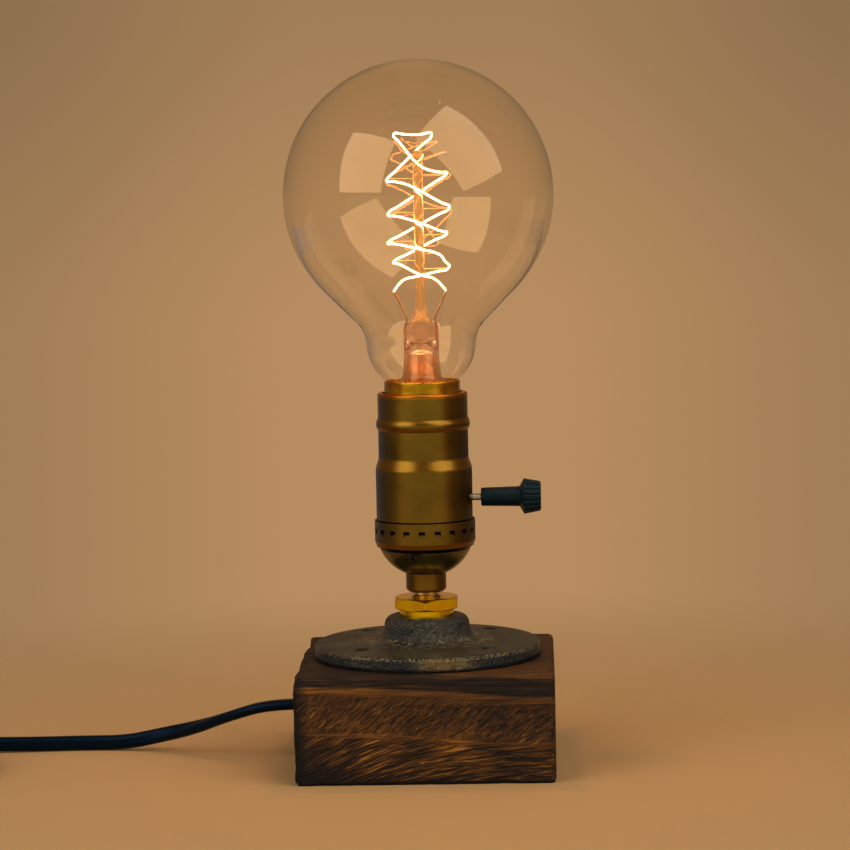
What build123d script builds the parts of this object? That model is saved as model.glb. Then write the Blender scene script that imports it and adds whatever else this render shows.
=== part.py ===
from build123d import *
import math
import os

# Table lamp: a wooden block, a cast pipe flange, a brass adapter, a lamp holder with a turn switch
# and a clear globe bulb. Sizes are in millimetres. The origin is in the middle of the block's
# underside, +Z is up, the viewer looks along +Y and the switch knob points along +X.

# Clearances
running_gap = 0.05
seat_gap = 0.02
sleeve_gap = 0.1
thread_gap = 0.4
tip_gap = 0.35
cut_over = 2.0

# Wooden block
block_length = 90.0
block_width = 89.0
block_height = 38.0
block_corner_radius = 1.5
block_edge_radius = 2.5
cord_hole_height = 20.7
cord_hole_radius = 3.2
wire_well_radius = 13.0

# Cast flange
flange_radius = 40.0
flange_thickness = 5.0
flange_rise = 1.3
flange_edge_radius = 1.4
hub_height = 14.4
hub_foot_radius = 15.8
hub_radius = 14.6
hub_foot_fillet = 3.5
hub_top_fillet = 3.2
screw_circle_radius = 31.0
screw_hole_radius = 2.6
screw_hole_depth = 2.6
screw_count = 4
screw_head_radius = 2.4
screw_head_height = 1.5
screw_shank_radius = 1.6
screw_length = 20.0
screw_slot = 0.7

# Brass adapter
pipe_thread_radius = 9.6
pipe_thread_length = 11.5
adapter_collar_height = 2.2
hex_across_flats = 22.0
hex_height = 4.4
hex_chamfer = 1.1
hex_edge_round = 0.35
waist_foot_radius = 5.9
waist_radius = 4.5
waist_height = 1.8
lamp_thread_radius = 5.0
lamp_thread_length = 7.6
adapter_bore_radius = 3.0

# Cap of the lamp holder
cap_wall = 0.7
cap_neck_radius = 7.15
cap_neck_length = 6.6
cap_neck_chamfer = 1.0
bowl_inset = 1.5
bowl_height = 9.4
bowl_middle_shares = (0.60, 0.39)
cap_groove = 0.4
cap_lip_height = 1.9
cap_lip_inset = 0.6
cap_ledge = 0.8
band_over = 1.9
band_height = 9.3
band_mouth = 0.45
window_count = 20
window_width = 2.3
window_height = 1.8
window_drop = 3.5
window_turn = -1.6
lance_width = 3.4
lance_height = 2.0
lance_slot = 0.5
lance_drop = 1.1
lance_turn = -9.0
set_screw_radius = 1.5
set_screw_proud = 0.2

# Shell of the lamp holder and its fibre sleeve
shell_wall = 0.5
shell_low_length = 27.0
shoulder_height = 3.5
shoulder_fillet = 3.0
shell_top_radius = 15.9
shell_height = 53.7
shell_lip = 1.2
shell_lip_fillet = 0.8
bead_rise = 42.6
bead_height = 4.2
bead_bulge = 0.7
sleeve_wall = 0.6

# Moulded body with the switch
body_gap = 0.15
body_height = 29.6
body_neck_height = 4.0
body_neck_gap = 0.7
cavity_length = 17.0
cavity_width = 18.0
cavity_roof = 6.9
switch_rise = 16.1
shaft_radius = 1.2
shaft_end_depth = 3.0
shaft_slot_gap = 0.9
rotor_side = 7.0
rotor_corner = 1.0
rotor_length = 11.0
leaf_thickness = 0.5
leaf_width = 6.0
leaf_length = 13.0
leaf_drop = 2.6
plate_width = 7.0
plate_thickness = 0.8
plate_foot = 1.6
plate_height = 18.0
terminal_rise = 5.2
terminal_head_radius = 2.6
terminal_head_height = 1.8
terminal_shank_radius = 1.4
terminal_cover = 2.1

# Contacts in the holder
contact_length = 10.0
contact_width = 6.0
contact_thickness = 0.5
rivet_radius = 1.6
rivet_head_radius = 2.5
rivet_head_height = 0.6
screw_shell_over = 1.4
screw_shell_height = 22.3
screw_shell_floor = 0.6
screw_shell_ledge = 3.6
shell_screw_inset = 2.2
shell_screw_radius = 1.2
shell_screw_head_radius = 1.7
shell_screw_head_height = 0.9
shell_screw_length = 4.3

# Switch knob
knob_start = 20.05
knob_stem_length = 13.6
knob_stem_radius = 3.25
knob_stem_end_radius = 3.55
knob_stem_round = 0.5
knob_flare_length = 1.6
knob_head_radius = 6.3
knob_head_length = 6.0
knob_face_radius = 5.2
knob_face_round = 0.9
flute_count = 18
flute_radius = 0.6

# Bulb
thread_pitch = 3.629
thread_inset = 3.3
thread_depth = 0.9
thread_length = 17.2
thread_rings = 12
base_wall = 0.6
base_collar_over = 0.8
base_collar_height = 5.0
base_collar_round = 0.5
tip_radius = 4.8
tip_height = 1.6
tip_face_radius = 3.0
insulator_height = 3.0
insulator_inset = 0.8
insulator_gap = 0.05
glass_wall = 0.8
globe_radius = 47.5
cone_angle = 45.0
glass_foot_gap = 0.1
glass_foot_depth = 4.2
neck_radius = 19.4
neck_rise = 12.6
neck_middle_shares = (0.60, 0.36)
neck_corner_radius = 20.2
neck_corner_rise = 18.225
stem_foot_gap = 0.2
stem_waist_radius = 6.7
stem_waist_rise = 1.9
stem_top_radius = 6.2
stem_top_rise = 11.4
stem_dome = 2.4
press_depth = 4.4
press_rise = 20.5
rod_radius = 1.7
rod_length = 58.0
rod_button_radius = 2.3
lead_spread = 5.0
lead_radius = 0.32
lead_bend = 2.0
lead_gap = 0.1
filament_rise = 31.5
filament_height = 55.0
filament_span = 11.0
filament_radius = 0.32
filament_bend = 1.3
support_radius = 0.14

# The filament from end to end: up the first spiral, over the top and down the second. Each corner
# is given as shares of filament_span to the right and to the back, and of filament_height upwards.
filament_shares = [
    (0.82, 0.00, 0.000),
    (0.12, -0.62, 0.095),
    (-0.26, -0.86, 0.140),
    (-0.83, 0.42, 0.190),
    (0.86, 0.46, 0.358),
    (0.12, -0.88, 0.436),
    (-0.99, 0.44, 0.496),
    (0.90, 0.46, 0.740),
    (0.08, -0.84, 0.784),
    (-0.76, 0.34, 1.000),
    (0.44, 0.70, 0.992),
    (-1.00, 0.40, 0.712),
    (-0.18, -0.86, 0.676),
    (0.97, 0.44, 0.524),
    (-1.00, 0.44, 0.312),
    (-0.12, -0.88, 0.280),
    (0.68, -0.10, 0.238),
    (0.90, 0.44, 0.136),
    (-0.44, 0.55, 0.072),
    (-0.82, 0.00, 0.000),
]

# Cord: a flat two-core flex, drawn as a round tube of its mean thickness
cord_diameter = 4.4
cord_bend_radius = 18.0
core_radius = 0.9
core_spread = 1.05
core_bend = 3.0
tail_run = 9.0
tail_turn = 9.0
cord_route = [
    (-block_length / 2, 0, cord_hole_height),
    (-57.0, 0, cord_hole_height),
    (-70.0, 4.2, 16.4),
    (-84.0, 13.6, 10.4),
    (-98.0, 20.2, 6.4),
    (-112.0, 24.6, 2.9),
    (-127.0, 25.6, 2.8),
    (-143.0, 24.2, 2.8),
    (-160.0, 22.7, 3.2),
    (-178.0, 22.4, 3.55),
    (-195.6, 22.4, 3.55),
]
arc_share = 0.45

# The length that is put away: a coil of two layers, its tie and the plug
coil_inner_radius = 22.2
coil_turn_step = 5.0
coil_layer_step = 5.5
coil_layer_turns = 4
coil_samples = 48
tie_width = 8.0
tie_thickness = 0.6
tie_round = 3.0
tie_gap = 0.6
tie_low_gap = 0.75
tie_angle = 225.0
relief_length = 22.0
relief_start_radius = 3.3
relief_end_radius = 4.8
plug_length = 26.0
plug_width = 24.0
plug_round = 5.0
plug_edge_round = 1.6
plug_floor_gap = 0.05
blade_length = 17.0
blade_width = 6.3
blade_thickness = 1.5
blade_spacing = 12.7

# Heights that follow from the sizes, from the table upwards
hub_top = block_height + hub_height
collar_top = hub_top + adapter_collar_height
hex_top = collar_top + hex_height
cap_bottom = hex_top + waist_height
cap_neck_top = cap_bottom + cap_neck_length
bowl_top = cap_neck_top + bowl_height
shelf = bowl_top + cap_groove + cap_wall
band_top = bowl_top + cap_groove + band_height
switch_height = shelf + switch_rise
body_top = shelf + body_height
cavity_top = body_top - cavity_roof
contact_top = body_top + contact_thickness + rivet_head_height
shell_top = shelf + shell_height
screw_shell_top = body_top + screw_shell_height
tip_bottom = contact_top + tip_gap
insulator_bottom = tip_bottom + tip_height
thread_bottom = insulator_bottom + insulator_height + insulator_gap
thread_top = thread_bottom + thread_length
collar_rim = thread_top + base_collar_height
cone_tip = collar_rim + neck_corner_rise - neck_corner_radius / math.tan(math.radians(cone_angle))
globe_centre = cone_tip + globe_radius / math.sin(math.radians(cone_angle))
press_top = collar_rim + press_rise

# Radii that follow from the sizes
band_radius = shell_top_radius + band_over
bowl_radius = band_radius - bowl_inset
band_inner_radius = band_radius - cap_wall
shell_low_radius = band_inner_radius - running_gap
sleeve_low_radius = shell_low_radius - shell_wall - sleeve_gap
sleeve_top_radius = shell_top_radius - shell_wall - sleeve_gap
body_radius = sleeve_low_radius - sleeve_wall - body_gap
terminal_end = body_radius - terminal_cover
body_neck_radius = sleeve_top_radius - sleeve_wall - body_neck_gap
shelf_inner_radius = bowl_radius - cap_wall - cap_ledge
thread_radius = shell_top_radius - thread_inset
thread_offset = thread_depth / 2
screw_shell_radius = thread_radius + screw_shell_over
screw_shell_opening = thread_radius - screw_shell_ledge
shell_screw_place = thread_radius - shell_screw_inset
base_collar_radius = thread_radius + base_collar_over
insulator_radius = thread_radius - insulator_inset
glass_foot_radius = base_collar_radius - base_wall - glass_foot_gap
stem_foot_radius = glass_foot_radius - glass_wall - stem_foot_gap
cord_radius = cord_diameter / 2


def lathe(corners, radii=None):
    """Solid turned about Z from corners (radius, height), each with its own fillet if radii are given."""
    if radii is None:
        outline = Polyline(*corners, close=True)
    else:
        outline = FilletPolyline(*corners, radius=radii, close=True)
    return revolve(Plane.XZ * make_face(outline), axis=Axis.Z)


def upright(radius, low, high):
    """Round bar along Z between two heights."""
    return Pos(0, 0, low) * Cylinder(radius, high - low, align=(Align.CENTER, Align.CENTER, Align.MIN))


def along_x(radius, low, high, height):
    """Round bar along X between two places, at a height on the lamp's axis."""
    bar = Cylinder(radius, high - low, align=(Align.CENTER, Align.CENTER, Align.MIN))
    return Pos(low, 0, height) * Rot(0, 90, 0) * bar


def along_y(radius, low, high, height):
    """Round bar along Y between two places, at a height on the lamp's axis."""
    bar = Cylinder(radius, high - low, align=(Align.CENTER, Align.CENTER, Align.MIN))
    return Pos(0, low, height) * Rot(-90, 0, 0) * bar


def block_between(low, high):
    """Box between two opposite corners."""
    size = [b - a for a, b in zip(low, high)]
    middle = [(a + b) / 2 for a, b in zip(low, high)]
    return Pos(*middle) * Box(*size)


def thread_core(radius, low, high):
    """Round-thread bar: a circle set off the axis that goes round it once each pitch, in phase with Z."""
    count = math.ceil((high - low) / thread_pitch * thread_rings)
    rings = []
    for step in range(count + 1):
        height = low + (high - low) * step / count
        turn = 2 * math.pi * height / thread_pitch
        place = Pos(thread_offset * math.cos(turn), thread_offset * math.sin(turn), height)
        rings.append(place * Circle(radius))
    return loft(rings)


def rounded_path(points, largest=math.inf):
    """Straight runs joined by tangent arcs, each as large as its two runs allow, and the arcs' radii."""
    spots = [Vector(point) for point in points]
    radii = []
    for before, corner, after in zip(spots, spots[1:], spots[2:]):
        run_in = corner - before
        run_out = after - corner
        turn = math.radians(run_in.get_angle(run_out))
        shorter = min(run_in.length, run_out.length)
        radii.append(min(arc_share * shorter / math.tan(turn / 2), largest))
    return FilletPolyline(*spots, radius=radii), radii


def tube(path, radius):
    """Round tube along a path."""
    return sweep(Plane(origin=path @ 0, z_dir=path % 0) * Circle(radius), path=path)


def slot_cut(width, length, depth, top):
    """Screwdriver slot across X, cut down from a height."""
    return Pos(0, 0, top - depth / 2) * Box(length, width, depth)


def make_block():
    """Wooden block, drilled for the cord from the left face and from the top, with screw holes."""
    block = Pos(0, 0, block_height / 2) * Box(block_length, block_width, block_height)
    block = fillet(block.edges().filter_by(Axis.Z), block_corner_radius)
    block = fillet(block.faces().sort_by(Axis.Z)[-1].edges(), block_edge_radius)
    block -= upright(wire_well_radius, cord_hole_height - cord_hole_radius, block_height + cut_over)
    block -= along_x(cord_hole_radius, -block_length / 2 - cut_over, 0, cord_hole_height)
    low = block_height + flange_thickness - screw_hole_depth - screw_length - seat_gap
    for place in screw_places():
        block -= place * upright(screw_shank_radius + seat_gap, low, block_height + cut_over)
    return block


def screw_places():
    """Places of the flange's screws, on the corners of a square."""
    return PolarLocations(screw_circle_radius, screw_count, start_angle=45)


def make_flange():
    """Cast flange: a round plate that rises to a hub, with four stepped screw holes."""
    rim_top = block_height + flange_thickness
    bore = pipe_thread_radius + running_gap
    corners = [
        (bore, block_height),
        (flange_radius, block_height),
        (flange_radius, rim_top),
        (hub_foot_radius, rim_top + flange_rise),
        (hub_radius, hub_top),
        (bore, hub_top),
    ]
    flange = lathe(corners, [0, 0, flange_edge_radius, hub_foot_fillet, hub_top_fillet, 0])
    for place in screw_places():
        flange -= place * upright(screw_shank_radius + seat_gap, block_height - cut_over, hub_top)
        flange -= place * upright(screw_hole_radius, rim_top - screw_hole_depth, hub_top)
    return flange


def make_flange_screws():
    """Four slotted screws, sunk in the flange's holes and turned into the block."""
    seat = block_height + flange_thickness - screw_hole_depth
    screw = upright(screw_head_radius, seat, seat + screw_head_height)
    screw += upright(screw_shank_radius, seat - screw_length, seat)
    head_top = seat + screw_head_height
    screw -= slot_cut(screw_slot, screw_head_radius * 3, screw_head_height / 2, head_top)
    return Compound([place * screw for place in screw_places()])


def make_adapter():
    """Brass adapter: pipe thread, round collar, hex, waist and lamp thread, bored for the cord."""
    hexagon = RegularPolygon(hex_across_flats / 2, 6, major_radius=False, rotation=30)
    prism = Pos(0, 0, collar_top) * extrude(hexagon, hex_height)
    prism = fillet(prism.edges().filter_by(Axis.Z), hex_edge_round)
    flats = hex_across_flats / 2
    tips = flats / math.cos(math.radians(30))
    bevel = lathe(
        [
            (0, collar_top),
            (flats - hex_chamfer / 2, collar_top),
            (tips, collar_top + hex_chamfer),
            (tips, hex_top - hex_chamfer),
            (flats - hex_chamfer / 2, hex_top),
            (0, hex_top),
        ]
    )
    waist_side = ThreePointArc(
        (waist_foot_radius, hex_top),
        ((waist_foot_radius + 2 * waist_radius) / 3, hex_top + waist_height / 3),
        (waist_radius, cap_bottom),
    )
    waist_foot = (waist_foot_radius, hex_top)
    waist_ends = Polyline((waist_radius, cap_bottom), (0, cap_bottom), (0, hex_top), waist_foot)
    waist = revolve(Plane.XZ * make_face(waist_side + waist_ends), axis=Axis.Z)
    adapter = prism & bevel
    adapter += upright(pipe_thread_radius, hub_top - pipe_thread_length, collar_top)
    adapter += waist
    adapter += upright(lamp_thread_radius, cap_bottom, cap_bottom + lamp_thread_length)
    return adapter - upright(adapter_bore_radius, block_height - cut_over, bowl_top)


def bowl_solid(low_radius, low, high_radius, high):
    """Solid bowl of the cap between two radii at two heights."""
    share_out, share_up = bowl_middle_shares
    middle = (low_radius + share_out * (high_radius - low_radius), low + share_up * (high - low))
    side = ThreePointArc((low_radius, low), middle, (high_radius, high))
    ends = Polyline((high_radius, high), (0, high), (0, low), (low_radius, low))
    return revolve(Plane.XZ * make_face(side + ends), axis=Axis.Z)


def make_cap():
    """Cap: neck, bowl and band, with a ring of windows, a lanced tab and a hole for the set screw."""
    tip = cap_neck_radius - cap_neck_chamfer
    cap = lathe(
        [
            (0, cap_bottom),
            (tip, cap_bottom),
            (cap_neck_radius, cap_bottom + cap_neck_chamfer),
            (cap_neck_radius, cap_neck_top),
            (0, cap_neck_top),
        ]
    )
    cap += bowl_solid(cap_neck_radius, cap_neck_top, bowl_radius, bowl_top)
    lip_bottom = bowl_top + cap_groove
    cap += lathe(
        [
            (0, bowl_top),
            (bowl_radius, bowl_top),
            (bowl_radius, lip_bottom),
            (band_radius - cap_lip_inset, lip_bottom),
            (band_radius, lip_bottom + cap_lip_height),
            (band_radius, band_top),
            (0, band_top),
        ]
    )
    cap -= bowl_solid(cap_neck_radius - cap_wall, cap_neck_top + cap_wall, shelf_inner_radius, shelf)
    cap -= upright(band_inner_radius, shelf, band_top + cut_over)
    mouth_low = band_top - band_mouth
    cap -= lathe(
        [
            (0, mouth_low),
            (band_inner_radius, mouth_low),
            (band_inner_radius + band_mouth, band_top),
            (0, band_top),
        ]
    )
    cap -= upright(lamp_thread_radius + running_gap, cap_bottom - cut_over, shelf)
    window = Box(band_radius / 2, window_width, window_height)
    for place in PolarLocations(band_radius, window_count, start_angle=window_turn - 90):
        cap -= Pos(0, 0, band_top - window_drop) * place * window
    lance = Box(bowl_radius / 2, lance_width, lance_slot)
    lance += Pos(0, -lance_width / 2, -lance_height / 2) * Box(bowl_radius / 2, lance_slot, lance_height)
    lance_place = Rot(0, 0, lance_turn - 90) * Pos(bowl_radius, 0, bowl_top - lance_drop)
    cap -= lance_place * lance
    set_screw_height = cap_bottom + cap_neck_length / 2
    return cap - along_y(set_screw_radius + seat_gap, 0, cap_neck_radius + cut_over, set_screw_height)


def make_set_screw():
    """Slotted grub screw in the rear of the cap's neck."""
    height = cap_bottom + cap_neck_length / 2
    start = lamp_thread_radius + running_gap
    end = cap_neck_radius + set_screw_proud
    slot = Pos(0, end, height) * Box(set_screw_radius * 3, set_screw_proud * 4, set_screw_radius / 2)
    return along_y(set_screw_radius, start, end, height) - slot


def holder_wall(low_radius, top_radius, wall, rim, rim_radii):
    """Turned wall of the holder: wide below, a shoulder, narrower above, closed by the corners of a rim."""
    shoulder = shelf + shell_low_length
    shoulder_top = shoulder + shoulder_height
    corners = [
        (low_radius - wall, shelf),
        (low_radius, shelf),
        (low_radius, shoulder),
        (top_radius, shoulder_top),
        *rim,
        (top_radius - wall, shoulder_top),
        (low_radius - wall, shoulder),
    ]
    bend = shoulder_fillet
    return lathe(corners, [0, 0, bend, bend, *rim_radii, bend, bend])


def shaft_slot(radius):
    """Slot for the switch shaft, open at the lower end of a wall of the holder."""
    half = shaft_radius + shaft_slot_gap
    low = (0, -half, shelf - cut_over)
    slot = block_between(low, (radius + cut_over, half, switch_height))
    return slot + along_x(half, 0, radius + cut_over, switch_height)


def make_shell():
    """Shell of the holder with its bead, slotted for the switch shaft."""
    inner = shell_top_radius - shell_wall
    rim = [
        (shell_top_radius, shell_top),
        (inner - shell_lip, shell_top),
        (inner - shell_lip, shell_top - shell_wall),
        (inner, shell_top - shell_wall),
    ]
    shell = holder_wall(shell_low_radius, shell_top_radius, shell_wall, rim, [shell_lip_fillet, 0, 0, 0])
    middle = shelf + bead_rise
    bead_side = ThreePointArc(
        (shell_top_radius, middle - bead_height / 2),
        (shell_top_radius + bead_bulge, middle),
        (shell_top_radius, middle + bead_height / 2),
    )
    bead_root = shell_top_radius - shell_wall / 2
    bead_ends = Polyline(
        (shell_top_radius, middle + bead_height / 2),
        (bead_root, middle + bead_height / 2),
        (bead_root, middle - bead_height / 2),
        (shell_top_radius, middle - bead_height / 2),
    )
    shell += revolve(Plane.XZ * make_face(bead_side + bead_ends), axis=Axis.Z)
    return shell - shaft_slot(shell_low_radius)


def make_sleeve():
    """Fibre sleeve inside the shell."""
    top = shell_top - shell_wall - sleeve_gap
    rim = [(sleeve_top_radius, top), (sleeve_top_radius - sleeve_wall, top)]
    sleeve = holder_wall(sleeve_low_radius, sleeve_top_radius, sleeve_wall, rim, [0, 0])
    return sleeve - shaft_slot(sleeve_low_radius)


def make_body():
    """Moulded body with a cavity for the switch, shaft bearings and holes for screws and rivet."""
    neck_bottom = body_top - body_neck_height
    body = upright(body_radius, shelf, neck_bottom) + upright(body_neck_radius, neck_bottom, body_top)
    half_x = cavity_length / 2
    half_y = cavity_width / 2
    body -= block_between((-half_x, -half_y, shelf - cut_over), (half_x, half_y, cavity_top))
    shaft_end = -half_x - shaft_end_depth
    body -= along_x(shaft_radius + running_gap, shaft_end, body_radius + cut_over, switch_height)
    body -= along_y(terminal_shank_radius + seat_gap, -terminal_end, terminal_end, shelf + terminal_rise)
    body -= upright(rivet_radius + seat_gap, cavity_top - cut_over, body_top + cut_over)
    for side in (-1, 1):
        hole = upright(shell_screw_radius + seat_gap, body_top - shell_screw_length, body_top + cut_over)
        body -= Pos(0, side * shell_screw_place, 0) * hole
    return body


def make_terminal_plates():
    """Two brass plates on the side walls of the cavity."""
    low = shelf + plate_foot
    outer = cavity_width / 2
    inner = outer - plate_thickness
    plate = block_between((-plate_width / 2, inner, low), (plate_width / 2, outer, low + plate_height))
    plate -= along_y(terminal_shank_radius + seat_gap, 0, outer + cut_over, shelf + terminal_rise)
    return Compound([plate, Rot(0, 0, 180) * plate])


def make_terminal_screws():
    """Two slotted screws that clamp the cores on the terminal plates."""
    face = cavity_width / 2 - plate_thickness
    height = shelf + terminal_rise
    screw = along_y(terminal_head_radius, face - terminal_head_height, face, height)
    screw += along_y(terminal_shank_radius, face, terminal_end, height)
    slot_depth = terminal_head_height / 2
    slot_middle = face - terminal_head_height + slot_depth / 2
    screw -= Pos(0, slot_middle, height) * Box(terminal_head_radius * 3, slot_depth, slot_depth)
    return Compound([screw, Rot(0, 0, 180) * screw])


def make_rotor():
    """Four-sided rotor on the switch shaft."""
    square = RectangleRounded(rotor_side, rotor_side, rotor_corner) - Circle(shaft_radius + seat_gap)
    rotor = extrude(square, rotor_length / 2, both=True)
    return Pos(0, 0, switch_height) * Rot(0, 90, 0) * rotor


def make_shaft():
    """Spindle from the blind bearing in the body to the inside of the knob."""
    start = -cavity_length / 2 - shaft_end_depth + running_gap
    return along_x(shaft_radius, start, knob_start + knob_stem_length, switch_height)


def make_knob():
    """Knob with a tapered stem and a fluted head, on the end of the shaft."""
    stem_end = knob_stem_length
    head_start = stem_end + knob_flare_length
    head_end = head_start + knob_head_length
    corners = [
        (0, 0),
        (knob_stem_radius, 0),
        (knob_stem_end_radius, stem_end),
        (knob_head_radius, head_start),
        (knob_face_radius, head_end),
        (0, head_end),
    ]
    knob = lathe(corners, [0, knob_stem_round, knob_flare_length / 2, 0, knob_face_round, 0])
    taper = math.degrees(math.atan2(knob_head_radius - knob_face_radius, knob_head_length))
    flute = Cylinder(flute_radius, knob_head_length * 2)
    middle = (knob_head_radius + knob_face_radius) / 2
    for place in PolarLocations(middle + flute_radius / 3, flute_count):
        knob -= Pos(0, 0, head_start + knob_head_length / 2) * place * Rot(0, -taper, 0) * flute
    knob -= upright(shaft_radius + seat_gap, -cut_over, knob_stem_length)
    return Pos(knob_start, 0, switch_height) * Rot(0, 90, 0) * knob


def make_leaf():
    """Spring leaf under the roof of the cavity, turned down at one side."""
    top = cavity_top
    low = top - leaf_thickness
    half_x = leaf_width / 2
    half_y = leaf_length / 2
    leaf = block_between((-half_x, -half_y, low), (half_x, half_y, top))
    leaf += block_between((-half_x, -half_y, low - leaf_drop), (half_x, leaf_thickness - half_y, low))
    return leaf - upright(rivet_radius + seat_gap, low - cut_over, top + cut_over)


def make_rivet():
    """Rivet through leaf, body and centre contact, whose upper head meets the bulb's tip."""
    low = cavity_top - leaf_thickness
    high = body_top + contact_thickness
    rivet = upright(rivet_radius, low, high)
    rivet += upright(rivet_head_radius, low - rivet_head_height, low)
    return rivet + upright(rivet_head_radius, high, high + rivet_head_height)


def make_centre_contact():
    """Brass strip on the top of the body under the rivet's head."""
    high = body_top + contact_thickness
    half_x = contact_length / 2
    half_y = contact_width / 2
    strip = block_between((-half_x, -half_y, body_top), (half_x, half_y, high))
    return strip - upright(rivet_radius + seat_gap, body_top - cut_over, high + cut_over)


def make_screw_shell():
    """Threaded brass shell that the bulb turns in, on the top of the body."""
    floor = body_top + screw_shell_floor
    shell = upright(screw_shell_radius, body_top, screw_shell_top)
    shell -= thread_core(thread_radius + thread_gap, floor, screw_shell_top + cut_over)
    shell -= upright(screw_shell_opening, body_top - cut_over, floor + cut_over)
    for side in (-1, 1):
        hole = upright(shell_screw_radius + seat_gap, body_top - cut_over, floor + cut_over)
        shell -= Pos(0, side * shell_screw_place, 0) * hole
    return shell


def make_shell_screws():
    """Two screws that hold the screw shell down on the body."""
    seat = body_top + screw_shell_floor
    screw = upright(shell_screw_head_radius, seat, seat + shell_screw_head_height)
    screw += upright(shell_screw_radius, body_top - shell_screw_length, seat)
    head_top = seat + shell_screw_head_height
    slot_depth = shell_screw_head_height / 2
    slot = slot_cut(shell_screw_radius / 2, shell_screw_head_radius * 3, slot_depth, head_top)
    return Compound([Pos(0, side * shell_screw_place, 0) * (screw - slot) for side in (-1, 1)])


def make_base_contact():
    """Soldered tip contact of the bulb."""
    corners = [
        (0, tip_bottom),
        (tip_face_radius, tip_bottom),
        (tip_radius, insulator_bottom),
        (0, insulator_bottom),
    ]
    return lathe(corners)


def make_base_insulator():
    """Black glass ring between the bulb's tip and its threaded base."""
    top = insulator_bottom + insulator_height
    corners = [
        (0, insulator_bottom),
        (tip_radius + base_wall, insulator_bottom),
        (insulator_radius, top),
        (0, top),
    ]
    return lathe(corners)


def make_bulb_base():
    """Threaded brass base of the bulb with a plain collar round the glass."""
    base = thread_core(thread_radius, thread_bottom, thread_top)
    corners = [
        (0, thread_top),
        (base_collar_radius, thread_top),
        (base_collar_radius, collar_rim),
        (0, collar_rim),
    ]
    base += lathe(corners, [0, 0, base_collar_round, 0])
    base -= upright(thread_radius - thread_offset - base_wall, thread_bottom - cut_over, collar_rim)
    return base - upright(base_collar_radius - base_wall, thread_top + base_wall, collar_rim + cut_over)


def bulb_form(inset):
    """Solid form of the glass: foot, rounded neck, cone and globe, drawn in by an inset."""
    foot = glass_foot_radius - inset
    foot_low = collar_rim - glass_foot_depth
    neck_end = (neck_radius - inset, collar_rim + neck_rise)
    share_out, share_up = neck_middle_shares
    neck_middle = (foot + share_out * (neck_end[0] - foot), collar_rim + share_up * neck_rise)
    radius = globe_radius - inset
    slope = math.radians(cone_angle)
    cone_end = (radius * math.sin(slope), globe_centre - radius * math.cos(slope))
    corner = neck_corner_radius - inset
    cone_start = (corner, cone_end[1] - (cone_end[0] - corner) * math.tan(slope))
    side_shares = (math.sin((slope + math.pi) / 2), -math.cos((slope + math.pi) / 2))
    globe_middle = (radius * side_shares[0], globe_centre + radius * side_shares[1])
    top = (0, globe_centre + radius)
    outline = Polyline((0, foot_low), (foot, foot_low), (foot, collar_rim))
    outline += ThreePointArc((foot, collar_rim), neck_middle, neck_end)
    outline += Polyline(neck_end, cone_start, cone_end)
    outline += ThreePointArc(cone_end, globe_middle, top)
    outline += Line(top, (0, foot_low))
    return revolve(Plane.XZ * make_face(outline), axis=Axis.Z)


def make_envelope():
    """Thin glass globe, open at its foot."""
    foot_low = collar_rim - glass_foot_depth
    envelope = bulb_form(0) - bulb_form(glass_wall)
    return envelope - upright(glass_foot_radius - glass_wall, foot_low - cut_over, collar_rim)


def make_stem():
    """Hollow glass stem with a flared foot, and the flat press that grips the leads."""
    foot_low = collar_rim - glass_foot_depth
    waist = collar_rim + stem_waist_rise
    top = collar_rim + stem_top_rise
    outer = [
        (0, foot_low),
        (stem_foot_radius, foot_low),
        (stem_waist_radius, waist),
        (stem_top_radius, top),
        (stem_top_radius / 2, top + stem_dome),
        (0, top + stem_dome),
    ]
    stem = lathe(outer)
    press_corner = (stem_top_radius, press_depth / 2, press_top)
    stem += block_between((-stem_top_radius, -press_depth / 2, top), press_corner)
    inner = [
        (0, foot_low - cut_over),
        (stem_foot_radius - glass_wall, foot_low - cut_over),
        (stem_foot_radius - glass_wall, foot_low),
        (stem_waist_radius - glass_wall, waist),
        (stem_top_radius - glass_wall, top - glass_wall),
        (0, top - glass_wall),
    ]
    stem -= lathe(inner)
    for side in (-1, 1):
        channel = upright(lead_radius + seat_gap, foot_low, press_top + cut_over)
        stem -= Pos(side * lead_spread, 0, 0) * channel
    return stem


def make_rod():
    """Glass rod on the press, with a button at its top."""
    top = press_top + rod_length
    rod = upright(rod_radius, press_top, top)
    return rod + Pos(0, 0, top) * Sphere(rod_button_radius)


def filament_corners():
    """Corners of the filament, from its right end to its left end."""
    low = collar_rim + filament_rise
    return [
        Vector(filament_span * right, filament_span * back, low + filament_height * up)
        for right, back, up in filament_shares
    ]


def make_filament():
    """One wire, up the first spiral and down the second."""
    path, radii = rounded_path(filament_corners(), filament_bend)
    return tube(path, filament_radius)


def filament_bends():
    """Middles of the filament's rounded bends, without the two next to its ends."""
    corners = filament_corners()
    path, radii = rounded_path(corners, filament_bend)
    middles = []
    for before, corner, after, radius in zip(corners, corners[1:], corners[2:], radii):
        way_in = (corner - before).normalized()
        way_out = (after - corner).normalized()
        half_turn = math.radians(way_in.get_angle(way_out)) / 2
        inward = (way_out - way_in).normalized()
        middles.append(corner + inward * (radius / math.cos(half_turn) - radius))
    return middles[1:-1]


def make_supports():
    """Fine wires from the glass rod to the filament's bends."""
    wires = []
    for bend in filament_bends():
        if bend.Z > press_top + rod_length:
            continue
        foot = Vector(0, 0, bend.Z)
        way = (bend - foot).normalized()
        start = rod_radius + seat_gap
        end = (bend - foot).length - filament_radius - lead_gap
        section = Plane(origin=foot + way * start, z_dir=way) * Circle(support_radius)
        wires.append(extrude(section, end - start))
    return Compound(wires)


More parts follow.
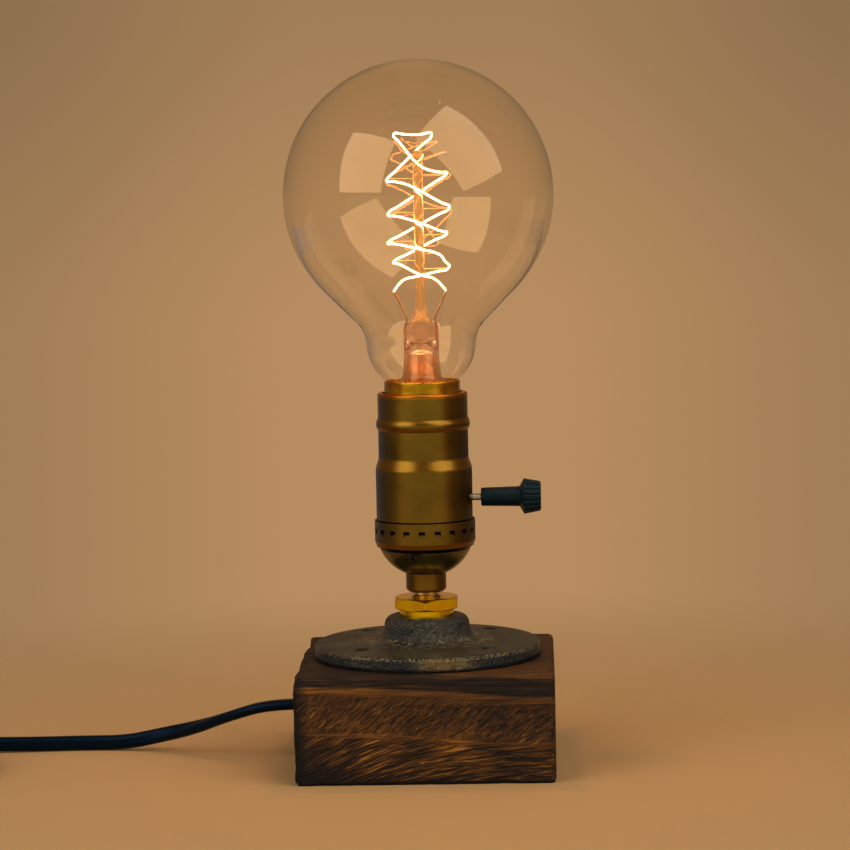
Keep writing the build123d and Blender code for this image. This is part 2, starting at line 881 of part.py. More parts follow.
def make_leads():
    """Two leads from the base through the press to the filament's ends."""
    ends = filament_corners()
    leads = []
    for side, end in ((1, ends[0]), (-1, ends[-1])):
        corner = Vector(side * lead_spread, 0, press_top + lead_bend)
        way = (end - corner).normalized()
        stop = end - way * (filament_radius + lead_radius + lead_gap)
        start = Vector(side * lead_spread, 0, collar_rim - glass_foot_depth)
        path, radii = rounded_path([start, corner, stop], lead_bend)
        leads.append(tube(path, lead_radius))
    return Compound(leads)


def make_inner_cord():
    """Cord from the block's left face to the middle and up through the adapter."""
    start = (-block_length / 2, 0, cord_hole_height)
    corner = (0, 0, cord_hole_height)
    end = (0, 0, cap_neck_top)
    path, radii = rounded_path([start, corner, end], cord_bend_radius)
    return tube(path, cord_radius)


def make_cores():
    """The cord's two cores, from its stripped end to the terminal screws."""
    face = cavity_width / 2 - plate_thickness
    head_middle = face - terminal_head_height / 2
    stop = shelf + terminal_rise - terminal_head_radius - sleeve_gap
    cores = []
    for side in (-1, 1):
        low = (0, side * core_spread, cap_neck_top)
        bend = (0, side * core_spread, cap_neck_top + core_bend)
        rise = (0, side * head_middle, stop - core_bend)
        end = (0, side * head_middle, stop)
        path, radii = rounded_path([low, bend, rise, end], core_bend)
        cores.append(tube(path, core_radius))
    return Compound(cores)


def make_cord():
    """Free stretch of the cord, from the block to the coil."""
    path, radii = rounded_path(cord_route)
    cord = tube(path, cord_radius)
    expected = math.pi * cord_radius**2 * path.length
    print("cord radii", [round(radius, 1) for radius in radii])
    print("cord length", round(path.length, 1), "volume", round(cord.volume), "of", round(expected))
    return cord


def coil_start():
    """First point of the coil's turns, one diameter after the end of the free stretch."""
    x, y, z = cord_route[-1]
    return Vector(x - cord_diameter, y, z)


coil_outer_radius = coil_inner_radius + coil_turn_step * coil_layer_turns
coil_rate = coil_turn_step / (2 * math.pi)
coil_start_angle = math.atan2(coil_outer_radius, coil_rate)
coil_start_way = Vector(math.cos(coil_start_angle), math.sin(coil_start_angle))
coil_centre = coil_start() - coil_start_way * coil_outer_radius


def coil_point(turns):
    """Centre of the cord after a number of turns: in on the lower layer, out again on the upper one."""
    past = turns - coil_layer_turns
    climb = min(max(2 * past + 0.5, 0), 1)
    if abs(past) < 0.25:
        steps = 2 * past**2 + 0.125
    else:
        steps = abs(past)
    radius = coil_inner_radius + coil_turn_step * steps
    angle = coil_start_angle + 2 * math.pi * turns
    rise = coil_layer_step * (1 - math.cos(math.pi * climb)) / 2
    return coil_centre + Vector(radius * math.cos(angle), radius * math.sin(angle), rise)


def coil_way(turns):
    """Direction of the cord after a number of turns."""
    small_share = 0.0005
    return (coil_point(turns + small_share) - coil_point(turns - small_share)).normalized()


def biarc(start, start_way, end, end_way):
    """Two arcs that leave one point and reach another in given directions."""
    chord = end - start
    bend = 2 * (1 - start_way.dot(end_way))
    reach = chord.dot(start_way + end_way)
    length = (math.sqrt(reach**2 + bend * chord.dot(chord)) - reach) / bend
    first = start + start_way * length
    last = end - end_way * length
    joint = (first + last) / 2
    return [TangentArc(start, joint, tangent=start_way), TangentArc(joint, end, tangent=last - first)]


def make_coil():
    """Two layers of turns as one tube, with straight ends one diameter long."""
    total = 2 * coil_layer_turns
    stops = [quarter / 4 for quarter in range(4 * total + 1)]
    first, last = coil_point(0), coil_point(total)
    edges = [Line(first - coil_way(0) * cord_diameter, first)]
    for turns, after in zip(stops, stops[1:]):
        edges += biarc(coil_point(turns), coil_way(turns), coil_point(after), coil_way(after))
    edges.append(Line(last, last + coil_way(total) * cord_diameter))
    path = Wire(edges)
    coil = tube(path, cord_radius)
    spots = [coil_point(step / coil_samples) for step in range(coil_samples * total + 1)]
    half_turn = coil_samples // 2
    least = min(
        (spot - other).length for place, spot in enumerate(spots) for other in spots[place + half_turn :]
    )
    section = math.pi * cord_radius**2
    print("coil length", round(path.length, 1), "least gap", round(least - cord_diameter, 2))
    print("coil volume", round(coil.volume), "of", round(section * path.length))
    return coil


def make_tie():
    """Strap round the bundle of turns."""
    turn = math.radians(tie_angle)
    out = Vector(math.cos(turn), math.sin(turn))
    middle_radius = (coil_inner_radius + coil_outer_radius) / 2
    inner_width = coil_outer_radius - coil_inner_radius + cord_diameter + 2 * tie_gap
    low = coil_centre.Z - cord_radius - tie_low_gap
    high = coil_centre.Z + coil_layer_step + cord_radius + tie_gap
    centre = Vector(coil_centre.X, coil_centre.Y, (low + high) / 2) + out * middle_radius
    plane = Plane(origin=centre, x_dir=out, z_dir=(math.sin(turn), -math.cos(turn), 0))
    inner = RectangleRounded(inner_width, high - low, tie_round)
    outer_round = tie_round + tie_thickness
    outer = RectangleRounded(inner_width + 2 * tie_thickness, high - low + 2 * tie_thickness, outer_round)
    return extrude(plane * (outer - inner), tie_width / 2, both=True)


def tail_points():
    """Corners of the cord between the coil and the plug, turning away from the coil."""
    total = 2 * coil_layer_turns
    way = coil_way(total)
    start = coil_point(total) + way * cord_diameter
    middle = start + way * tail_run
    return [start, middle, middle + way.rotate(Axis.Z, -tail_turn) * tail_run]


def make_tail():
    """Short stretch of the cord from the coil to the plug."""
    path, radii = rounded_path(tail_points())
    print("tail radii", [round(radius, 1) for radius in radii], "length", round(path.length, 1))
    return tube(path, cord_radius)


def plug_plane():
    """Plane across the cord where it meets the plug, facing the plug's blades."""
    start, middle, end = tail_points()
    way = (end - middle).normalized()
    return Plane(origin=end, x_dir=(way.Y, -way.X, 0), z_dir=way)


def make_plug_body():
    """Moulded plug with a tapered strain relief."""
    plane = plug_plane()
    plug_height = 2 * (plane.origin.Z - plug_floor_gap)
    relief = Cone(
        relief_start_radius, relief_end_radius, relief_length, align=(Align.CENTER, Align.CENTER, Align.MIN)
    )
    outline = RectangleRounded(plug_width, plug_height, plug_round)
    body = Pos(0, 0, relief_length) * extrude(outline, plug_length)
    ends = body.faces().filter_by(Axis.Z)
    body = fillet(ends.edges(), plug_edge_round)
    return plane * (relief + body)


def make_blades():
    """Two flat blades on the plug's face."""
    start = relief_length + plug_length
    blade = Box(blade_thickness, blade_width, blade_length)
    blade = Pos(blade_spacing / 2, 0, start + blade_length / 2) * blade
    blade = fillet(blade.faces().sort_by(Axis.Z)[-1].edges().filter_by(Axis.X), blade_thickness)
    return Compound([plug_plane() * blade, plug_plane() * Rot(0, 0, 180) * blade])


nodes = {
    "wood_block": make_block,
    "floor_flange": make_flange,
    "flange_screws": make_flange_screws,
    "hex_adapter": make_adapter,
    "socket_cap": make_cap,
    "neck_set_screw": make_set_screw,
    "socket_shell": make_shell,
    "insulating_sleeve": make_sleeve,
    "socket_body": make_body,
    "terminal_plates": make_terminal_plates,
    "terminal_screws": make_terminal_screws,
    "switch_rotor": make_rotor,
    "switch_shaft": make_shaft,
    "switch_knob": make_knob,
    "switch_leaf": make_leaf,
    "contact_rivet": make_rivet,
    "centre_contact": make_centre_contact,
    "screw_shell": make_screw_shell,
    "shell_screws": make_shell_screws,
    "base_contact": make_base_contact,
    "base_insulator": make_base_insulator,
    "bulb_base": make_bulb_base,
    "glass_envelope": make_envelope,
    "stem_glass": make_stem,
    "glass_rod": make_rod,
    "filament": make_filament,
    "support_wires": make_supports,
    "lead_wires": make_leads,
    "inner_cord": make_inner_cord,
    "core_wires": make_cores,
    "cord": make_cord,
    "cord_coil": make_coil,
    "cord_tail": make_tail,
    "cord_tie": make_tie,
    "plug_body": make_plug_body,
    "plug_blades": make_blades,
}

os.makedirs("parts", exist_ok=True)
for name, make in nodes.items():
    export_step(make(), f"parts/{name}.step")
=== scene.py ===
"""Looks of a table lamp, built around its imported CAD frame.

A stained timber block carries a cast pipe flange, a brass adapter, a bronzed lamp holder with a turn
switch, and a lit clear globe bulb. All sizes in the classes are millimetres in the CAD frame: the
origin is in the middle of the block's underside, +Z is up and the viewer looks along +Y.
"""

from __future__ import annotations

import logging
import math
from collections.abc import Callable, Iterable, Sequence
from dataclasses import dataclass, field, replace
from enum import Enum
from functools import partial
from typing import Any

import bpy
from mathutils import Matrix, Vector, noise

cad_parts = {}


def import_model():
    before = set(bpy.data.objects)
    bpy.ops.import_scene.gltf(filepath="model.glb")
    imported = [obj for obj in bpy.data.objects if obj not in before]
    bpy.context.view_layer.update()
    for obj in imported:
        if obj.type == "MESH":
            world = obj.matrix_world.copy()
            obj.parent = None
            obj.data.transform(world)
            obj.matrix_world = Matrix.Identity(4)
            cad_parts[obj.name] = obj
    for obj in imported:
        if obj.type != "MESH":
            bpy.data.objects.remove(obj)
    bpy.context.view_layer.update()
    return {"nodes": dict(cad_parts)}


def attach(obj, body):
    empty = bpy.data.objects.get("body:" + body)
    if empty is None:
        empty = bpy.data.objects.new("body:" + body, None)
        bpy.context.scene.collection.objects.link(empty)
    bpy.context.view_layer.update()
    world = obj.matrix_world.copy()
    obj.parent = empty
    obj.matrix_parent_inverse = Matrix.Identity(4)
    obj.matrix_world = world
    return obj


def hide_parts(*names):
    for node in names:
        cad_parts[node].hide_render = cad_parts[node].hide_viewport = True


MM = 0.001
LOG = logging.getLogger("lamp")
# Points this close are one, in metres.
TOUCH = 1e-6

Pair = tuple[float, float]
Point = tuple[float, float, float]
Colour = tuple[float, float, float, float]
Tones = tuple[tuple[float, str], ...]
Inputs = dict[Any, Any] | Sequence[Any]
Add = Callable[..., Any]


class Body(Enum):
    """Bodies that the new pieces ride on, by their names in the CAD frame."""

    BASE = "base"
    BULB = "bulb"


def linear(code: str) -> Colour:
    """Turns an sRGB hex colour into a linear one.

    Args:
        code: Six hex digits.

    Returns:
        Linear red, green, blue and an alpha of one.
    """
    parts = [int(code[place : place + 2], 16) / 255 for place in (0, 2, 4)]
    shades = [part / 12.92 if part <= 0.04045 else ((part + 0.055) / 1.055) ** 2.4 for part in parts]
    return (shades[0], shades[1], shades[2], 1.0)


def toned(tones: Iterable[tuple[float, str]]) -> list[tuple[float, Colour]]:
    """Returns the stops of a colour ramp from places and hex colours."""
    return [(place, linear(code)) for place, code in tones]


def greys(levels: Iterable[Pair]) -> list[tuple[float, Colour]]:
    """Returns the stops of a colour ramp from places and levels between black and white."""
    return [(place, (level, level, level, 1.0)) for place, level in levels]


def metres(*sizes_mm: float) -> list[float]:
    """Returns sizes in millimetres as metres."""
    return [size * MM for size in sizes_mm]


def per_metre(size_mm: float) -> float:
    """Returns the scale of a pattern whose features are about size_mm across."""
    return 1 / (size_mm * MM)


def eased(value: float, start: float, end: float) -> float:
    """Returns a share that grows softly from zero at start to one at end."""
    share = min(max((value - start) / (end - start), 0), 1)
    return share * share * (3 - 2 * share)


def toward(start: Vector, end: Vector, run: float) -> Vector:
    """Returns the point that lies run beyond start on the way to end."""
    return start + (end - start).normalized() * run


def connect(node: bpy.types.Node, inputs: Inputs) -> None:
    """Sets or links the input sockets of a node.

    Args:
        node: A shader node.
        inputs: Values or output sockets to link from, in the sockets' order or by their names or numbers.
    """
    named = inputs if isinstance(inputs, dict) else dict(enumerate(inputs))
    for name, value in named.items():
        if isinstance(value, bpy.types.NodeSocket):
            node.id_data.links.new(value, node.inputs[name])
        else:
            node.inputs[name].default_value = value


def add_node(
    tree: bpy.types.NodeTree, kind: str, inputs: Inputs = (), output: Any = 0, **settings: Any
) -> Any:
    """Adds a shader node, with its settings, values and links.

    Args:
        tree: Node tree of a material or of the world.
        kind: Node type without its ShaderNode prefix.
        inputs: Values or output sockets to link from, as connect takes them.
        output: Name or number of the wanted output socket.
        settings: Properties of the node; stops are the places and colours of a colour ramp.

    Returns:
        The wanted output socket.
    """
    node = tree.nodes.new("ShaderNode" + kind)
    stops = settings.pop("stops", ())
    for name, value in settings.items():
        setattr(node, name, value)
    for _ in stops[2:]:
        node.color_ramp.elements.new(0.5)
    for place, (position, colour) in enumerate(stops):
        node.color_ramp.elements[place].position = position
        node.color_ramp.elements[place].color = colour
    connect(node, inputs)
    return node.outputs[output]


def blank(name: str) -> bpy.types.Material:
    """Adds a material with the usual nodes and returns it."""
    made = bpy.data.materials.new(name)
    made.use_nodes = True
    return made


@dataclass(frozen=True)
class Finish:
    """A surface finish: its name, and how its nodes are laid out."""

    name: str

    def material(self) -> bpy.types.Material:
        """Builds the material once and returns it."""
        found = bpy.data.materials.get(self.name)
        if found:
            return found
        made = blank(self.name)
        connect(made.node_tree.nodes["Principled BSDF"], self.paint(partial(add_node, made.node_tree)))
        return made

    def paint(self, add: Add) -> dict[str, Any]:
        """Adds the pattern nodes.

        Args:
            add: Adds a node to the material's tree.

        Returns:
            Values and links for the sockets of the Principled shader.
        """
        raise NotImplementedError

    def dress(self, piece: bpy.types.Object) -> None:
        """Puts the material on a piece in place of what it has."""
        piece.data.materials.clear()
        piece.data.materials.append(self.material())


@dataclass(frozen=True)
class Strokes:
    """Strokes of the wire brush: climb along X with its changes per metre, pace along a stroke and width."""

    climb: tuple[float, ...]
    pace: float
    width_mm: float
    # Where the pattern turns from dark to pale.
    turn: Pair

    def lay(self, add: Add, axes: Any) -> Any:
        """Lays the strokes.

        Args:
            add: Adds a node to the material's tree.
            axes: Sockets of the place along X, Y and Z.

        Returns:
            The strokes' socket.
        """
        along: Any = self.climb[-1]
        for factor in (*reversed(self.climb[:-1]), 0.0):
            along = add("Math", (axes["X"], along, factor), operation="MULTIPLY_ADD")
        level = add("Math", (axes["Z"], along), operation="SUBTRACT")
        across = add("Math", (axes["X"], self.pace), operation="MULTIPLY")
        place = add("CombineXYZ", {"X": across, "Y": axes["Y"], "Z": level})
        detail = {"Detail": 4.0, "Roughness": 0.6, "Distortion": 0.7}
        pattern = add("TexNoise", {"Vector": place, "Scale": per_metre(self.width_mm), **detail})
        return add("MapRange", (pattern, *self.turn))


@dataclass(frozen=True)
class StainedPine(Finish):
    """Rough-sawn pine, wire-brushed and burnt dark: pale ridges, slanted brush strokes, black hollows and
    painted shade beside the flange.
    """

    block_mm: float = 38.0
    tilt: float = 0.054
    # Length of the bands' slow waves along each axis, and their height.
    sway_mm: Point = (71.43, 71.43, 25.0)
    sway_height: float = 4.0
    fibre_mm: float = 0.7
    fibre_pace: float = 0.05
    patch_mm: float = 16.0
    # Shares of the fibres in the strokes, of the strokes in the bands and of the patches over all.
    fibre_share: float = 0.22
    grain_share: float = 0.55
    patch_share: float = 0.22
    # Share of the block's height and paleness of each growth band on the faces.
    bands: tuple[Pair, ...] = (
        (0.00, 0.10), (0.12, 0.32), (0.24, 0.38), (0.40, 0.38), (0.47, 0.42), (0.60, 0.34), (0.77, 0.30),
        (0.80, 0.60), (0.83, 0.50), (0.85, 0.02), (0.95, 0.00), (0.985, 0.10), (1.00, 0.36),
    )
    ridge: tuple[Pair, ...] = ((0.365, 0.0), (0.40, 1.0), (0.43, 0.9), (0.48, 0.0))
    # The strokes above the ridge, those of the fan below it, and the levels at which fan and bare top begin.
    upper: Strokes = Strokes((0.75, -1.6), 0.3, 0.95, (0.32, 0.72))
    fan: Strokes = Strokes((0.24, -3.4, 16.0), 0.075, 0.85, (0.40, 0.63))
    fan_levels: Pair = (0.41, 0.38)
    top_levels: Pair = (0.72, 0.79)
    # The scorched front face: where it is, and how fast scorching ends behind it.
    front: float = -44.0
    inward: float = 2.0
    # Scorched corner and edge at the left, and the stain's fall to the right: places along X, and shares.
    corner_climb: float = 1.2
    corner: tuple[Pair, Pair] = ((-44.0, -12.0), (0.45, 1.0))
    edge_ragged: float = 6.0
    edge: tuple[Pair, Pair] = ((-42.5, -37.5), (0.5, 1.0))
    lean: tuple[Pair, Pair] = ((-40.0, 40.0), (1.1, 0.94))
    # Painted shade beside a seam, where shade falls between the block and the flange: its reach, and its
    # openness and share.
    shade_reach_mm: float = 3.0
    seam_shade: Point = (0.35, 0.75, 0.2)
    relief_mm: float = 1.2
    tones: Tones = ((0.20, "0f0c0b"), (0.35, "22160d"), (0.53, "5a3710"), (0.76, "b07220"))

    def paint(self, add: Add) -> dict[str, Any]:
        """Lays growth bands, fibres, two slants of brush strokes and burnt patches over each other, with
        painted shade beside seams.
        """
        place = add("TexCoord", output="Object")
        axes = add("SeparateXYZ", [place]).node.outputs
        sway = add("Mapping", {"Vector": place, "Scale": [per_metre(size) for size in self.sway_mm]})
        drift = add("TexNoise", {"Vector": sway, "Scale": 1.0, "Detail": 3.0})
        tilted = add("Math", (axes["X"], self.tilt, axes["Z"]), operation="MULTIPLY_ADD")
        swayed = add("Math", (drift, self.sway_height * MM, tilted), operation="MULTIPLY_ADD")
        middle = self.sway_height / 2
        level = add("MapRange", (swayed, *metres(middle, self.block_mm + middle)))
        bands = add("ValToRGB", [level], stops=greys(self.bands))
        ridge = add("ValToRGB", [level], stops=greys(self.ridge))
        along = add("Mapping", {"Vector": place, "Scale": (self.fibre_pace, 1, 1)})
        detail = {"Detail": 3.0, "Roughness": 0.6}
        fibres = add("TexNoise", {"Vector": along, "Scale": per_metre(self.fibre_mm), **detail})
        patches = add("TexNoise", {"Vector": place, "Scale": per_metre(self.patch_mm), "Detail": 3.0})
        below = add("MapRange", (level, *self.fan_levels))
        brushed = add("Mix", {0: below, 2: self.upper.lay(add, axes), 3: self.fan.lay(add, axes)})
        top = add("MapRange", (level, *self.top_levels))
        marks = add("Mix", {0: top, 2: brushed, 3: fibres})
        grain = add("Mix", {0: self.fibre_share, 2: marks, 3: fibres})
        grown = add("Mix", {0: self.grain_share, 2: bands, 3: grain})
        split = add("Math", (ridge, fibres), operation="MULTIPLY")
        ridged = add("Math", (grown, split), operation="MAXIMUM")
        burnt = add("Mix", {0: self.patch_share, 2: ridged, 3: patches})
        depth = (axes["Y"], self.inward, -self.inward * self.front * MM)
        behind = add("Math", (add("Math", depth, operation="MULTIPLY_ADD"), 0.0), operation="MAXIMUM")
        ahead = add("Math", (axes["X"], behind), operation="ADD")
        climbed = add("Math", (axes["Z"], self.corner_climb, ahead), operation="MULTIPLY_ADD")
        ragged = add("Math", (drift, self.edge_ragged * MM, ahead), operation="MULTIPLY_ADD")
        # Painted shade: the wood turns darker where the flange closes it in.
        open_to = add("AmbientOcclusion", {"Distance": self.shade_reach_mm * MM}, "AO", samples=12)
        shares = [add("MapRange", (open_to, *self.seam_shade))]
        for spot, (places, ends) in ((climbed, self.corner), (ragged, self.edge), (axes["X"], self.lean)):
            shares.append(add("MapRange", (spot, *metres(*places), *ends)))
        for share in shares:
            burnt = add("Math", (burnt, share), operation="MULTIPLY")
        bump = {"Height": ridged, "Strength": 0.9, "Distance": self.relief_mm * MM}
        return {
            "Base Color": add("ValToRGB", [burnt], stops=toned(self.tones)),
            "Normal": add("Bump", bump),
            "Roughness": 0.6,
            "Specular IOR Level": 0.16,
        }


@dataclass(frozen=True)
class CastIron(Finish):
    """Sand-cast iron, waxed dark: a pebbled skin with painted glints on the rim's edge, rubbed wear under
    painted highlights at the hub's foot, painted shade at the rim's foot, and ground at one place.
    """

    grit_mm: float = 0.85
    dent_mm: float = 3.4
    patch_mm: float = 14.0
    patch_share: float = 0.35
    # Painted glints on the rim's rounded upper edge, and rubbed wear under a painted highlight around the
    # hub's foot:
    # their height and half their depth, and where the pattern turns pale and how far.
    edge: Pair = (42.3, 0.6)
    edge_glints: tuple[float, ...] = (0.5, 0.62, 0.0, 0.35)
    foot: Pair = (44.5, 0.7)
    foot_scuff_and_sheen_mm: float = 2.6
    foot_scuff_and_sheen: tuple[float, ...] = (0.52, 0.66, 0.0, 0.5)
    # Heights between which the painted shade at the rim's low edge, where it stands on the block, fades out.
    rim_foot_shade: Pair = (38.5, 39.3)
    # The ground patch on the front of the rim: its middle across X, the fade of its ends on either side
    # and their raggedness, its depth from Y 0, its top, and the grinding's lines.
    ground_middle: float = 7.5
    ground_fade: Pair = (17.0, 10.0)
    ground_ragged: float = 10.0
    ground_front: float = -35.0
    ground_top: float = 42.2
    grinding_mm: float = 0.5
    grinding_pace: float = 0.04
    dent_depth: float = 1.6
    grit_depth: float = 0.6
    tones: Tones = ((0.0, "020203"), (0.40, "181e20"), (0.54, "3b3a33"), (0.74, "7c6c4c"))
    ground_tones: Tones = ((0.3, "7c6c4c"), (0.7, "624c2e"))

    def paint(self, add: Add) -> dict[str, Any]:
        """Lays the pebbled skin, its painted glints and highlights, the painted shade at the rim's foot and
        one ground patch on the rim.
        """
        place = add("TexCoord", output="Object")
        axes = add("SeparateXYZ", [place]).node.outputs
        detail = {"Detail": 4.0, "Roughness": 0.7}
        grit, foot_pattern = (
            add("TexNoise", {"Vector": place, "Scale": per_metre(size), **detail})
            for size in (self.grit_mm, self.foot_scuff_and_sheen_mm)
        )
        patches, dents = (
            add("TexNoise", {"Vector": place, "Scale": per_metre(size), "Detail": 2.0})
            for size in (self.patch_mm, self.dent_mm)
        )
        skin = add("Mix", {0: self.patch_share, 2: grit, 3: patches})
        # Painted glints on the rim's edge, and painted highlights over rubbed wear at the hub's foot.
        for pattern, turn, ring in ((grit, self.edge_glints, self.edge), (foot_pattern, self.foot_scuff_and_sheen, self.foot)):
            glint_and_wear = add("MapRange", (pattern, *turn))
            around = add("Math", (axes["Z"], *metres(*ring)), operation="COMPARE")
            skin = add("Math", (glint_and_wear, around, skin), operation="MULTIPLY_ADD")
        # Painted shade along the rim's foot, darkest where it meets the block.
        rim_shade = add("MapRange", (axes["Z"], *metres(*self.rim_foot_shade)))
        raised = add("Math", (skin, rim_shade), operation="MULTIPLY")
        cast = add("ValToRGB", [raised], stops=toned(self.tones))
        aside = add("Math", (axes["X"], self.ground_middle * MM), operation="SUBTRACT")
        reach = add("Math", [aside], operation="ABSOLUTE")
        ragged = add("Math", (grit, self.ground_ragged * MM, reach), operation="MULTIPLY_ADD")
        patch = add("MapRange", (ragged, *metres(*self.ground_fade)))
        front = add("Math", (axes["Y"], self.ground_front * MM), operation="LESS_THAN")
        low = add("Math", (axes["Z"], self.ground_top * MM), operation="LESS_THAN")
        for zone in (front, low, rim_shade):
            patch = add("Math", (patch, zone), operation="MULTIPLY")
        upright = add("Mapping", {"Vector": place, "Scale": (1, 1, self.grinding_pace)})
        lines = add("TexNoise", {"Vector": upright, "Scale": per_metre(self.grinding_mm), "Detail": 2.0})
        ground = add("ValToRGB", [lines], stops=toned(self.ground_tones))
        relief = add("Mix", {0: patch, 2: grit, 3: lines})
        dented = add("Bump", {"Height": dents, "Strength": 0.5, "Distance": self.dent_depth * MM})
        bump = {"Height": relief, "Strength": 0.9, "Distance": self.grit_depth * MM, "Normal": dented}
        return {
            "Base Color": add("Mix", {0: patch, 6: cast, 7: ground}, 2, data_type="RGBA"),
            "Normal": add("Bump", bump),
            "Metallic": 0.55,
            "Roughness": 0.42,
            "Specular IOR Level": 0.3,
        }


@dataclass(frozen=True)
class TurnedMetal(Finish):
    """Plated or turned metal: a colour that drifts a little, fine marks from the lathe and painted shade in
    its seams.
    """

    tint: str = "c08a1e"
    shade: str = "9a6a12"
    roughness: float = 0.22
    spread: float = 0.08
    mottle_mm: float = 6.0
    # The lathe's marks, coarser than real ones so that they show, and their strength.
    turned_mm: float = 0.5
    turned_pace: float = 0.02
    groove: float = 0.05
    groove_depth: float = 0.2
    # Reach of the painted shade beside a seam; none where it is zero.
    shade_reach_mm: float = 1.6
    seam_shade: Pair = (0.6, 0.2)
    # Colour of the painted shade, in seams and in the rings of shade.
    painted_shade: str = "0b0906"
    # Lowest and highest place of each ring of painted shade, painted light or tarnish, and its colour.
    rings: tuple[tuple[float, float, str], ...] = ()

    def paint(self, add: Add) -> dict[str, Any]:
        """Lays a mottled tint, rings of fine turning marks, the painted rings and the painted shade of seams.
        """
        place = add("TexCoord", output="Object")
        detail = {"Detail": 4.0, "Roughness": 0.6}
        mottle = add("TexNoise", {"Vector": place, "Scale": per_metre(self.mottle_mm), **detail})
        colour = add("ValToRGB", [mottle], stops=toned(((0.35, self.shade), (0.65, self.tint))))
        flat = add("Mapping", {"Vector": place, "Scale": (self.turned_pace, self.turned_pace, 1)})
        marks = add("TexNoise", {"Vector": flat, "Scale": per_metre(self.turned_mm), "Detail": 3.0})
        ends = (self.roughness - self.spread, self.roughness + self.spread)
        height = add("SeparateXYZ", [place], "Z")
        for low, high, tint in self.rings:
            ring = (height, *metres((low + high) / 2, (high - low) / 2))
            inside = add("Math", ring, operation="COMPARE")
            colour = add("Mix", {0: inside, 6: colour, 7: linear(tint)}, 2, data_type="RGBA")
        # Painted shade: darker where seams and recesses close the metal in.
        if self.shade_reach_mm:
            open_to = add("AmbientOcclusion", {"Distance": self.shade_reach_mm * MM}, "AO", samples=12)
            seam_shade = add("MapRange", (open_to, *self.seam_shade))
            colour = add("Mix", {0: seam_shade, 6: colour, 7: linear(self.painted_shade)}, 2, data_type="RGBA")
        bump = {"Height": marks, "Strength": self.groove, "Distance": self.groove_depth * MM}
        return {
            "Base Color": colour,
            "Roughness": add("MapRange", (mottle, 0.3, 0.7, *ends)),
            "Normal": add("Bump", bump),
            "Metallic": 1.0,
        }


@dataclass(frozen=True)
class Moulding(Finish):
    """Moulded plastic, rubber or fibre: an even colour with a faint mottle and a fine surface grain."""

    tint: str = "0c0d0e"
    shade: str = "060707"
    roughness: float = 0.4
    grain_mm: float = 0.6
    grain_depth: float = 0.2
    relief: float = 0.15
    gloss: float = 0.2
    sheen_tint: str = "ffffff"

    def paint(self, add: Add) -> dict[str, Any]:
        """Lays the mottle and the grain."""
        place = add("TexCoord", output="Object")
        detail = {"Detail": 3.0, "Roughness": 0.6}
        grain = add("TexNoise", {"Vector": place, "Scale": per_metre(self.grain_mm), **detail})
        stops = toned(((0.35, self.shade), (0.65, self.tint)))
        bump = {"Height": grain, "Strength": self.relief, "Distance": self.grain_depth * MM}
        return {
            "Base Color": add("ValToRGB", [grain], stops=stops),
            "Normal": add("Bump", bump),
            "Roughness": self.roughness,
            "Specular IOR Level": self.gloss,
            "Specular Tint": linear(self.sheen_tint),
        }


@dataclass(frozen=True)
class ClearGlass(Finish):
    """Blown glass: clear and faintly warm, with a painted glow in its thick ends for the thread's light
    caught there.
    """

    tint: str = "fffaf2"
    shine: str = "ffd09a"
    wave_mm: float = 30.0
    wave_depth: float = 1.0
    # Heights between which the painted glow grows from nothing to its full strength.
    glow_from: float = 138.6
    glow_full: float = 136.2
    glow_tint: str = "ff7c14"
    glow: float = 0.02

    def paint(self, add: Add) -> dict[str, Any]:
        """Sets a clear shader with the slow waves of blown glass in the bump, and the painted glow."""
        place = add("TexCoord", output="Object")
        waves = add("TexNoise", {"Vector": place, "Scale": per_metre(self.wave_mm), "Detail": 1.0})
        height = add("SeparateXYZ", [place], "Z")
        # Painted glow: the glass emits light, growing between two heights.
        painted_glow = (height, *metres(self.glow_from, self.glow_full), 0.0, self.glow)
        return {
            "Normal": add("Bump", {"Height": waves, "Strength": 0.05, "Distance": self.wave_depth * MM}),
            "Emission Strength": add("MapRange", painted_glow),
            "Emission Color": linear(self.glow_tint),
            "Base Color": linear(self.tint),
            "Roughness": 0.0,
            "IOR": 1.5,
            "Specular Tint": linear(self.shine),
            "Transmission Weight": 1.0,
        }


@dataclass(frozen=True)
class HotWire(Finish):
    """Glowing carbon thread: white-hot to the eye, and its light is orange."""

    soot: str = "20120a"
    glow: str = "ffa868"
    strength: float = 50.0

    def paint(self, add: Add) -> dict[str, Any]:
        """Sets the glow; the thread's colour itself is soot black."""
        return {
            "Base Color": linear(self.soot),
            "Roughness": 0.6,
            "Emission Color": linear(self.glow),
            "Emission Strength": self.strength,
        }


# Sawn pine, brushed and scorched: pale ridges stand out of dark hollows.
PINE = StainedPine("stained_pine")
# Sand-cast iron under wax: a dull pebbled grey, with painted glints on the rim's edge and painted highlights
# over rubbed spots at the hub's foot.
IRON = CastIron("waxed_cast_iron")
# Turned brass, left bright: clear yellow mirrors.
BRASS = TurnedMetal("bright_brass", tint="fccb12", shade="f0b810", roughness=0.22, spread=0.02, groove=0.02)
# The same brass with its waist painted pale as a painted highlight: it mirrors the brass around it and would
# turn red.
WAIST_BRASS = replace(BRASS, name="bright_brass_adapter", rings=((59.05, 60.85, "fff0b4"),))
# Drawn brass, handled and heated: browner, mottled and less sharp.
BASE_BRASS = replace(BRASS, name="dull_brass", tint="d2921a", shade="a87014", roughness=0.3, spread=0.06)
# Bronzed plate, brushed and lacquered: dark olive gold with soft broad lights.
BRONZE = TurnedMetal(
    "antique_bronze_plate",
    tint="7b591d",
    shade="6f4f19",
    roughness=0.31,
    spread=0.02,
    mottle_mm=9.0,
    shade_reach_mm=0.0,
)
